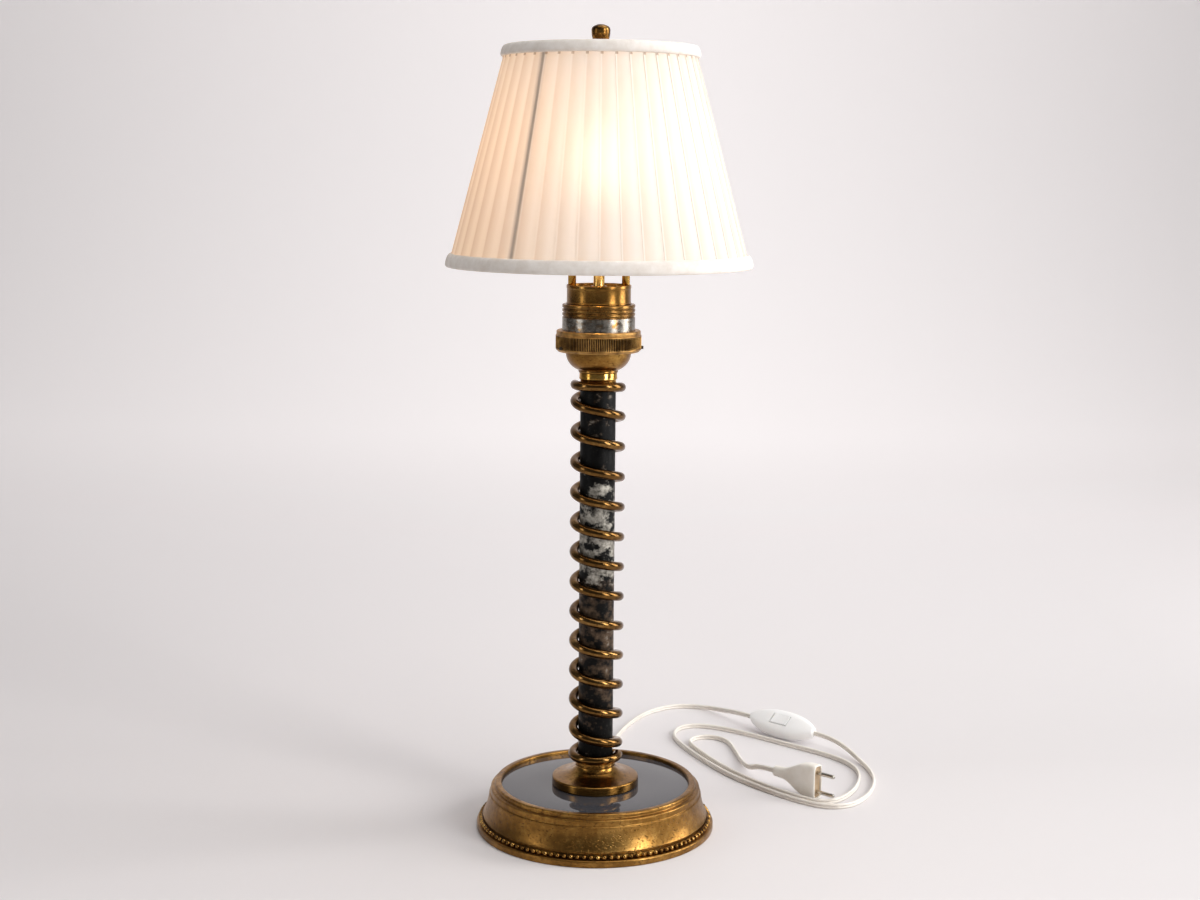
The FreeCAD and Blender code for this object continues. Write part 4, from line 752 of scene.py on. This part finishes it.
def pleated_cloth():
    """Thin cotton: half of it scatters the room's light, half lets the bulb's light through."""
    material, tree, output = blank("pleated_cloth")
    place = node(tree, "ShaderNodeTexCoord").outputs["Object"]
    parts = node(tree, "ShaderNodeSeparateXYZ", {0: place})
    angle = math_node(tree, "ARCTAN2", parts.outputs[1], parts.outputs[0])
    count = math_node(tree, "MULTIPLY", angle, PLEATS / (2 * math.pi))
    share = math_node(tree, "FRACT", math_node(tree, "ADD", count, float(PLEATS)))
    height = math_node(tree, "SUBTRACT", parts.outputs[2], SHADE_FOOT * MM)
    pitch = spread(tree, height, 0.0, SHADE_RISE * MM, 2 * math.pi * FOOT_RADIUS / PLEATS,
                   2 * math.pi * TOP_RADIUS / PLEATS)
    across = math_node(tree, "MULTIPLY", share, pitch)
    layered = spread(tree, across, 2.0, PLEAT_FOLD + 1.5, 1.0, 0.0)
    # A thin line at each fold is painted as single cloth: a painted highlight along the fold.
    fold_highlight = spread(tree, across, 0.7, 1.7, 1.0, 0.0)
    streak = noise(tree, 5.0, 3.0, stretch=(1.0, 1.0, 0.08))
    weave = noise(tree, 0.8, 2.0)
    thick = math_node(tree, "SUBTRACT", layered, math_node(tree, "MULTIPLY", fold_highlight, 0.9), clamp=True)
    thick = math_node(tree, "MULTIPLY", thick, spread(tree, streak, 0.3, 0.7, 0.85, 1.1))
    # The left side is painted a warmer, darker orange: a painted shade, where less room light falls.
    left_side_shade = spread(tree, parts.outputs[0], -0.11, 0.02, 1.0, 0.0)
    single = node(tree, "ShaderNodeMix", {0: left_side_shade, 6: linear("FFF9F3"), 7: linear("FFDFB6")},
                  data_type="RGBA").outputs[2]
    doubled = node(tree, "ShaderNodeMix", {0: left_side_shade, 6: linear("F1E0CC"), 7: linear("E3B986")},
                   data_type="RGBA").outputs[2]
    through = node(tree, "ShaderNodeMix", {0: thick, 6: single, 7: doubled}, data_type="RGBA").outputs[2]
    face = node(tree, "ShaderNodeMix", {0: thick, 6: linear("F6F2EE"), 7: linear("EFE8E1")},
                data_type="RGBA").outputs[2]
    # A painted rib shadow together with the rib's seam: a soft dark band along one rib, on the left side
    # only.
    quarter = math_node(tree, "FRACT", math_node(
        tree, "ADD", math_node(tree, "MULTIPLY", angle, 2 / math.pi), 4.5 - RIB_ANGLE / 90))
    aside = math_node(tree, "ABSOLUTE", math_node(tree, "SUBTRACT", quarter, 0.5))
    near = math_node(tree, "MULTIPLY", aside, math_node(tree, "MULTIPLY", pitch, PLEATS / 4))
    rib_seam_and_shadow = math_node(tree, "MULTIPLY", spread(tree, near, *RIB_SHADOW, 1.0, 0.0),
                     math_node(tree, "LESS_THAN", parts.outputs[0], 0.0))
    through = node(tree, "ShaderNodeMix", {0: math_node(tree, "MULTIPLY", rib_seam_and_shadow, 0.5), 6: through,
                                           7: linear("5A4434")}, data_type="RGBA").outputs[2]
    face = node(tree, "ShaderNodeMix", {0: math_node(tree, "MULTIPLY", rib_seam_and_shadow, 0.45), 6: face,
                                        7: linear("846C5A")}, data_type="RGBA").outputs[2]
    dots = math_node(tree, "MULTIPLY", math_node(tree, "LESS_THAN", across, STITCH_LENGTH),
                     math_node(tree, "GREATER_THAN", height, (SHADE_RISE - STITCH_DROP) * MM))
    stitched = math_node(tree, "MULTIPLY", dots, 0.55)
    through = node(tree, "ShaderNodeMix", {0: stitched, 6: through, 7: linear("8E6A44")},
                   data_type="RGBA").outputs[2]
    face = node(tree, "ShaderNodeMix", {0: stitched, 6: face, 7: linear("9A7A58")},
                data_type="RGBA").outputs[2]
    bump = node(tree, "ShaderNodeBump", {"Height": weave, "Strength": 0.25, "Distance": 0.1 * MM})
    cloth = node(tree, "ShaderNodeBsdfPrincipled", {"Base Color": face, "Roughness": 0.85,
                                                    "Normal": bump.outputs[0]})
    glow = node(tree, "ShaderNodeBsdfTranslucent", {"Color": through})
    core = node(tree, "ShaderNodeBsdfRefraction", {"Color": linear("FFF6EA"), "Roughness": 0.9,
                                                   "IOR": 1.25})
    light = node(tree, "ShaderNodeMixShader", {0: 0.05, 1: glow.outputs[0], 2: core.outputs[0]})
    mixed = node(tree, "ShaderNodeMixShader", {0: 0.5, 1: cloth.outputs[0], 2: light.outputs[0]})
    tree.links.new(mixed.outputs[0], output.inputs[0])
    return material


fabric = piece("shade_fabric_look", cloth_grid(), pleated_cloth(), crease=20)
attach(fabric, "shade")
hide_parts("shade_fabric")


def edging(name, low, high, uneven=0.22):
    """A rolled strip of cloth: a flat oval section turned about Z, a little uneven by hand."""
    outline = []
    half = (high - low) / 2
    for angle in np.linspace(0, 2 * math.pi, 25)[:-1]:
        rise = half * math.copysign(abs(math.sin(angle)) ** 0.8, math.sin(angle))
        height = (low + high) / 2 + rise
        radius = FOOT_RADIUS + (TOP_RADIUS - FOOT_RADIUS) * height / SHADE_RISE
        outside = 3.6 * abs(math.cos(angle)) ** 0.7 if math.cos(angle) > 0 else -0.6
        outline.append((radius + outside, SHADE_FOOT + height))
    grid = revolved(np.array(outline), 220)
    turn = 2 * math.pi * np.arange(220) / 220
    wave = sum(np.sin(turn * k + k * k) / k ** 0.5 for k in (5, 11, 17, 29, 41))
    grid[..., :2] *= 1 + uneven * wave[None, :, None] / 4 / np.hypot(grid[..., 0], grid[..., 1])[..., None]
    thing = piece(name + "_look", grid, trim_cloth, round_rows=True, crease=60)
    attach(thing, "shade")
    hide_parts(name)


trim_cloth = plain("trim_cloth", "ECE5DE", 0.9, "DDD3C9", size=9, bump=0.5, bump_size=0.6)
edging("bottom_trim", 0.0, 12.0)
edging("top_trim", SHADE_RISE - 10.2, SHADE_RISE)
turned("finial_look", [
    (3.1, 707.5), (5.6, 707.5), (5.4, 708.6), (4.4, 709.9, -4), (4.9, 712.2), (7.0, 716.4, -14),
    (8.3, 724, 22), (7.3, 727.6, 4.6), (0.8, 730, 12), (0, 730), (0, 721), (3.1, 721)],
    brass_finial, soft=0.3, columns=64, body="finial")
print("shade:", PLEATS, "pleats, pitch", round(2 * math.pi * FOOT_RADIUS / PLEATS, 1), "mm at the foot")

# %% [markdown]
# The switch is two moulded shells that meet along a seam, with a rocker in a pocket. Each shell
# is a height over a pointed oval: grid lines run along the oval's edge, and two pairs of lines
# set close together make the steep walls of the pocket.

# %% Switch
SWITCH_WIDE = 16.0
MOUTH = 4.0
POCKET = (11.4, 6.4)
POCKET_FLOOR = 0.25
ROCKER_HALF = (10.2, 5.7, 3.6)
ROCKER_PLACE = (0.3, 0.35, 5.8)


def half_width(x):
    """Half the switch's width at x: an oval that is a little fuller than an ellipse's arc."""
    return MOUTH + (SWITCH_WIDE - MOUTH) * (1 - np.abs(x / SWITCH_HALF) ** 2.3) ** 0.8


def shell_grid(side, height, pocket):
    """Heights of one shell over rows along x and columns across it, then its flat joint face."""
    step = 0.02
    px, py = POCKET
    tip = SWITCH_HALF * np.cos(np.linspace(0, 1.15, 16))
    x = np.concatenate([-tip, np.linspace(-16, -px - 0.4, 4), [-px - step, -px],
                        np.linspace(-px + 0.4, px - 0.4, 9), [px, px + step],
                        np.linspace(px + 0.4, 16, 4), tip[::-1]])[:, None]
    inner = np.concatenate([np.linspace(-1, -0.9, 2), np.linspace(-0.8, 0.8, 7), np.linspace(0.9, 1, 2)])
    outer = np.array([0.004, 0.1, 0.3, 0.5, 0.68, 0.82, 0.92, 0.98, 1.0])
    wide = half_width(x)
    well = np.minimum(py, 0.47 * wide)
    right = well + (wide - well) * outer[None]
    y = np.concatenate([-right[:, ::-1], inner[None] * well, right], axis=1)
    across = np.clip(np.abs(y / wide), 0, 1)
    along = np.abs(x) / SWITCH_HALF
    crown = height * (1 - 0.42 * along ** 2.4)
    z = crown * (1 - across ** 3.2) ** 0.45 * (1 - np.clip(along - 0.985, 0, 1) * 20) ** 0.5
    if pocket:
        z = np.where((np.abs(x) <= px) & (np.abs(y) <= well + 1e-6), POCKET_FLOOR, z)
    top = np.stack([x + 0 * y, y, side * z], axis=-1)
    joint = np.stack([x + 0 * y, y, 0 * z], axis=-1)[:, ::-1]
    return np.concatenate([top, joint[:, 1:-1]], axis=1)


for name, side, height, pocket in (("switch_lower", -1, 7.5, False), ("switch_upper", 1, 9.2, True)):
    grid = shell_grid(side, height, pocket)
    shell = piece(name + "_look", placed(SWITCH, capped(grid)), switch_white, crease=40)
    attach(shell, "lamp")
    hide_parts(name)


def rounded_box(half, radius, rows=25, columns=32):
    """A sphere's directions pushed out to a box's corners, so all its edges are round."""
    lean = np.linspace(-math.pi / 2, math.pi / 2, rows)[:, None]
    turn = 2 * math.pi * (np.arange(columns) + 0.5)[None] / columns
    way = np.stack([np.cos(lean) * np.cos(turn), np.cos(lean) * np.sin(turn), np.sin(lean) + 0 * turn], -1)
    power = np.sign(way) * np.abs(way) ** 0.6
    return np.sign(way) * (np.asarray(half) - radius) * (np.abs(way) > 1e-9) + radius * power


def rocker_grid():
    """A rounded block with a hollow top. It sits a little to one side of its pocket, so the gap
    shows as a thin dark line on two sides only."""
    grid = rounded_box(ROCKER_HALF, 0.6) + ROCKER_PLACE
    lift = 0.9 * (grid[..., 0] / ROCKER_HALF[0]) ** 2
    grid[..., 2] = np.where(grid[..., 2] > 6, grid[..., 2] - 0.7 + lift, grid[..., 2])
    return grid


rocker = piece("switch_rocker_look", placed(SWITCH, rocker_grid()), switch_white, crease=40)
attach(rocker, "rocker")
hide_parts("switch_rocker")
print("switch:", 2 * SWITCH_HALF, "mm long")

# %% [markdown]
# The plug is a flat moulded one with two round pins, lying on its narrow edge. Its body is a
# row of rounded rectangles that grow from the cord's neck to the face, joined by a smooth skin.

# %% Plug
PLUG_STATIONS = np.array([   # along, half height, half thickness, roundness
    (0.0, 4.4, 4.0, 0.9), (0.8, 5.2, 4.6, 0.9), (9.5, 5.6, 4.8, 0.9), (14.0, 6.2, 5.0, 0.85),
    (20.0, 8.6, 5.6, 0.7), (27.0, 12.4, 6.3, 0.55), (34.0, 15.6, 6.8, 0.45), (42.0, 17.2, 7.0, 0.4),
    (50.5, 17.4, 7.0, 0.4), (51.6, 17.1, 6.7, 0.4), (52.0, 16.5, 6.1, 0.4), (51.9, 15.9, 5.5, 0.4),
    (51.2, 15.6, 5.2, 0.4), (49.6, 15.4, 5.0, 0.4)])


def plug_grid(columns=48):
    """Superellipse sections: the smaller the power, the squarer the section."""
    station = np.arange(len(PLUG_STATIONS))
    place = np.linspace(0, len(PLUG_STATIONS) - 1, 4 * len(PLUG_STATIONS) - 3)
    along, high, thin, power = [np.interp(place, station, column) for column in PLUG_STATIONS.T]
    high, thin, power = [column[:, None] for column in (high, thin, power)]
    turn = 2 * math.pi * np.arange(columns)[None] / columns
    across, up = [np.sign(wave) * np.abs(wave) ** power for wave in (np.cos(turn), np.sin(turn))]
    return np.stack([along[:, None] + 0 * turn, thin * across, high * up], axis=-1)


plug = piece("plug_body_look", placed(PLUG, capped(plug_grid())), plug_white, crease=40)
plug_face_finish = plain("plug_face", "B39C80", 0.55, "A08768", size=6)
plug_face = piece("plug_face_look", placed(PLUG, rounded_box((0.5, 4.9, 15.3), 0.4) + (50.0, 0, 0)),
                  plug_face_finish, crease=40)
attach(plug, "lamp")
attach(plug_face, "lamp")
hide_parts("plug_body")
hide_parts("plug_body")
PIN_OFFSET = 9.5
for side in (-PIN_OFFSET, PIN_OFFSET):
    outline = bent([(0, 45), (1.9, 45), (1.9, 52.5), (2.0, 52.5), (2.0, 69.6), (1.0, 71, 1.4), (0, 71)], 0.2)
    grid = revolved(outline, 24)
    grid = np.stack([grid[..., 2], grid[..., 0], side + grid[..., 1]], axis=-1)
    pin = piece("plug_pin_look_%s" % ("upper" if side > 0 else "lower"), placed(PLUG, grid), nickel,
                round_rows=True)
    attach(pin, "lamp")
    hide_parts("plug_pins")

print("plug: pins", 2 * PIN_OFFSET, "mm apart")

# %% [markdown]
# What the CAD made and nothing above replaces keeps its own mesh and gets a finish here: the
# weight, plate and felt under the base, the holder's inside, the shade's wires and the nuts.

# %% Finishes of the carried pieces
CARRIED = {
    "felt_pad": felt, "bottom_plate": steel, "base_weight": iron_cast, "foot_washer": steel,
    "foot_nut": steel, "deck_nut": brass_turned, "support_nuts": brass_turned, "ring_screws": steel_dark,
    "top_bridge": brass_turned, "shade_stud": brass_turned, "stud_nut": brass_turned,
    "socket_shell": brass_turned, "socket_core": porcelain, "screw_shell": brass_bright,
    "centre_contact": nickel, "bottom_hoop": wire_paint, "top_hoop": wire_paint, "shade_ribs": wire_paint,
    "spider": wire_paint, "inner_cord": pvc, "rocker_pin": steel,
}
for label, finish in CARRIED.items():
    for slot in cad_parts[label].material_slots:
        slot.material = finish
print("carried nodes:", len(CARRIED))

# %% [markdown]
# The photograph was taken on a white sweep of paper. Here it is a sheet that runs back and
# curves up, far enough away that no edge shows. The lights are two soft boxes from the right, a
# weaker one from the left, one overhead, and a small warm one that carries the bulb's light down
# into the gallery. Around them is an even grey. Mirrors see it darker, so that the brass keeps
# dark bands between the boxes.

# %% Sweep, lights and world
def sweep_grid():
    """A level floor, a quarter circle up and a wall, in millimetres, as wide as x runs."""
    turn = np.linspace(0, math.pi / 2, 24)
    y = np.concatenate([[-3200, -1500, 0, 1200], 2000 + 1400 * np.sin(turn), [3400]])
    z = np.concatenate([[0, 0, 0, 0], 1400 - 1400 * np.cos(turn), [4200]])
    x = np.linspace(-4500, 4500, 13)
    return np.stack([x[None] + 0 * y[:, None], y[:, None] + 0 * x[None], z[:, None] + 0 * x[None]], -1)


def paper():
    """White paper that glows more towards the back and is a little darker at the right."""
    material, tree, output = blank("paper_sweep")
    parts = node(tree, "ShaderNodeSeparateXYZ", {0: node(tree, "ShaderNodeTexCoord").outputs["Object"]})
    away = spread(tree, parts.outputs[1], 0.2, 2.3)
    aside = math_node(tree, "ABSOLUTE", math_node(tree, "SUBTRACT", parts.outputs[0], 0.1))
    centre = spread(tree, aside, 0.2, 1.9, 1.0, 0.55)
    glow = math_node(tree, "MULTIPLY", math_node(tree, "MULTIPLY", away, centre), 0.44)
    shaded = math_node(tree, "MULTIPLY", spread(tree, parts.outputs[0], 0.0, 0.7),
                       spread(tree, parts.outputs[1], 0.3, 1.6, 1.0, 0.0))
    tone = ramp(tree, shaded, [(0.0, "E0DBDB"), (1.0, "C8C4C4")])
    shader = node(tree, "ShaderNodeBsdfPrincipled", {
        "Base Color": tone, "Roughness": 0.8, "Emission Color": linear("FFFAFA"),
        "Emission Strength": glow})
    tree.links.new(shader.outputs[0], output.inputs[0])
    return material


sweep = piece("paper_sweep", sweep_grid()[:, ::-1], paper(), round_columns=False, crease=180)


def soft_box(name, place, aim, size, power, code="FFFFFF"):
    """A rectangular light of a size in metres and a power in watts, turned to its aim."""
    light = bpy.data.lights.new(name, "AREA")
    light.shape = "RECTANGLE"
    light.size, light.size_y = size
    light.energy = power
    light.color = linear(code)[:3]
    thing = bpy.data.objects.new(name, light)
    thing.location = place
    thing.rotation_euler = (Vector(aim) - Vector(place)).to_track_quat("-Z", "Y").to_euler()
    bpy.context.scene.collection.objects.link(thing)


soft_box("key_right", (1.5, -1.25, 1.0), (0, 0, 0.35), (0.55, 1.4), 22)
soft_box("side_right", (1.9, 0.15, 0.95), (0, 0, 0.45), (0.7, 1.6), 26)
soft_box("fill_left", (-1.9, -1.0, 0.9), (0, 0, 0.35), (0.45, 1.3), 6)
soft_box("overhead", (0.5, -0.1, 2.5), (0.1, 0.2, 0), (2.2, 2.2), 32)
soft_box("bulb_down", (0.0, -0.021, 0.575), (0, -0.012, 0.49), (0.012, 0.012), 0.06, "FFD890")

world = bpy.data.worlds.new("studio")
bpy.context.scene.world = world
world.use_nodes = True
tree = world.node_tree
tree.nodes.clear()
toward = node(tree, "ShaderNodeSeparateXYZ", {0: node(tree, "ShaderNodeTexCoord").outputs["Generated"]})
behind = math_node(tree, "MULTIPLY", spread(tree, toward.outputs[1], 0.3, 0.7),
                   spread(tree, toward.outputs[2], 0.1, 0.25))
below = spread(tree, toward.outputs[2], -0.30, -0.05, 0.3, 0.0)
seen = math_node(tree, "ADD", math_node(tree, "ADD", math_node(tree, "MULTIPLY", behind, 0.79), below), 0.16)
mirrored = node(tree, "ShaderNodeLightPath").outputs["Is Glossy Ray"]
strength = node(tree, "ShaderNodeMix", {0: mirrored, 2: 0.3, 3: seen}).outputs[0]
ambient = node(tree, "ShaderNodeBackground", {"Color": linear("DADADA"), "Strength": strength})
tree.links.new(ambient.outputs[0], node(tree, "ShaderNodeOutputWorld").inputs[0])
bpy.context.scene.view_settings.view_transform = "Standard"
print("lights:", len(bpy.data.lights))
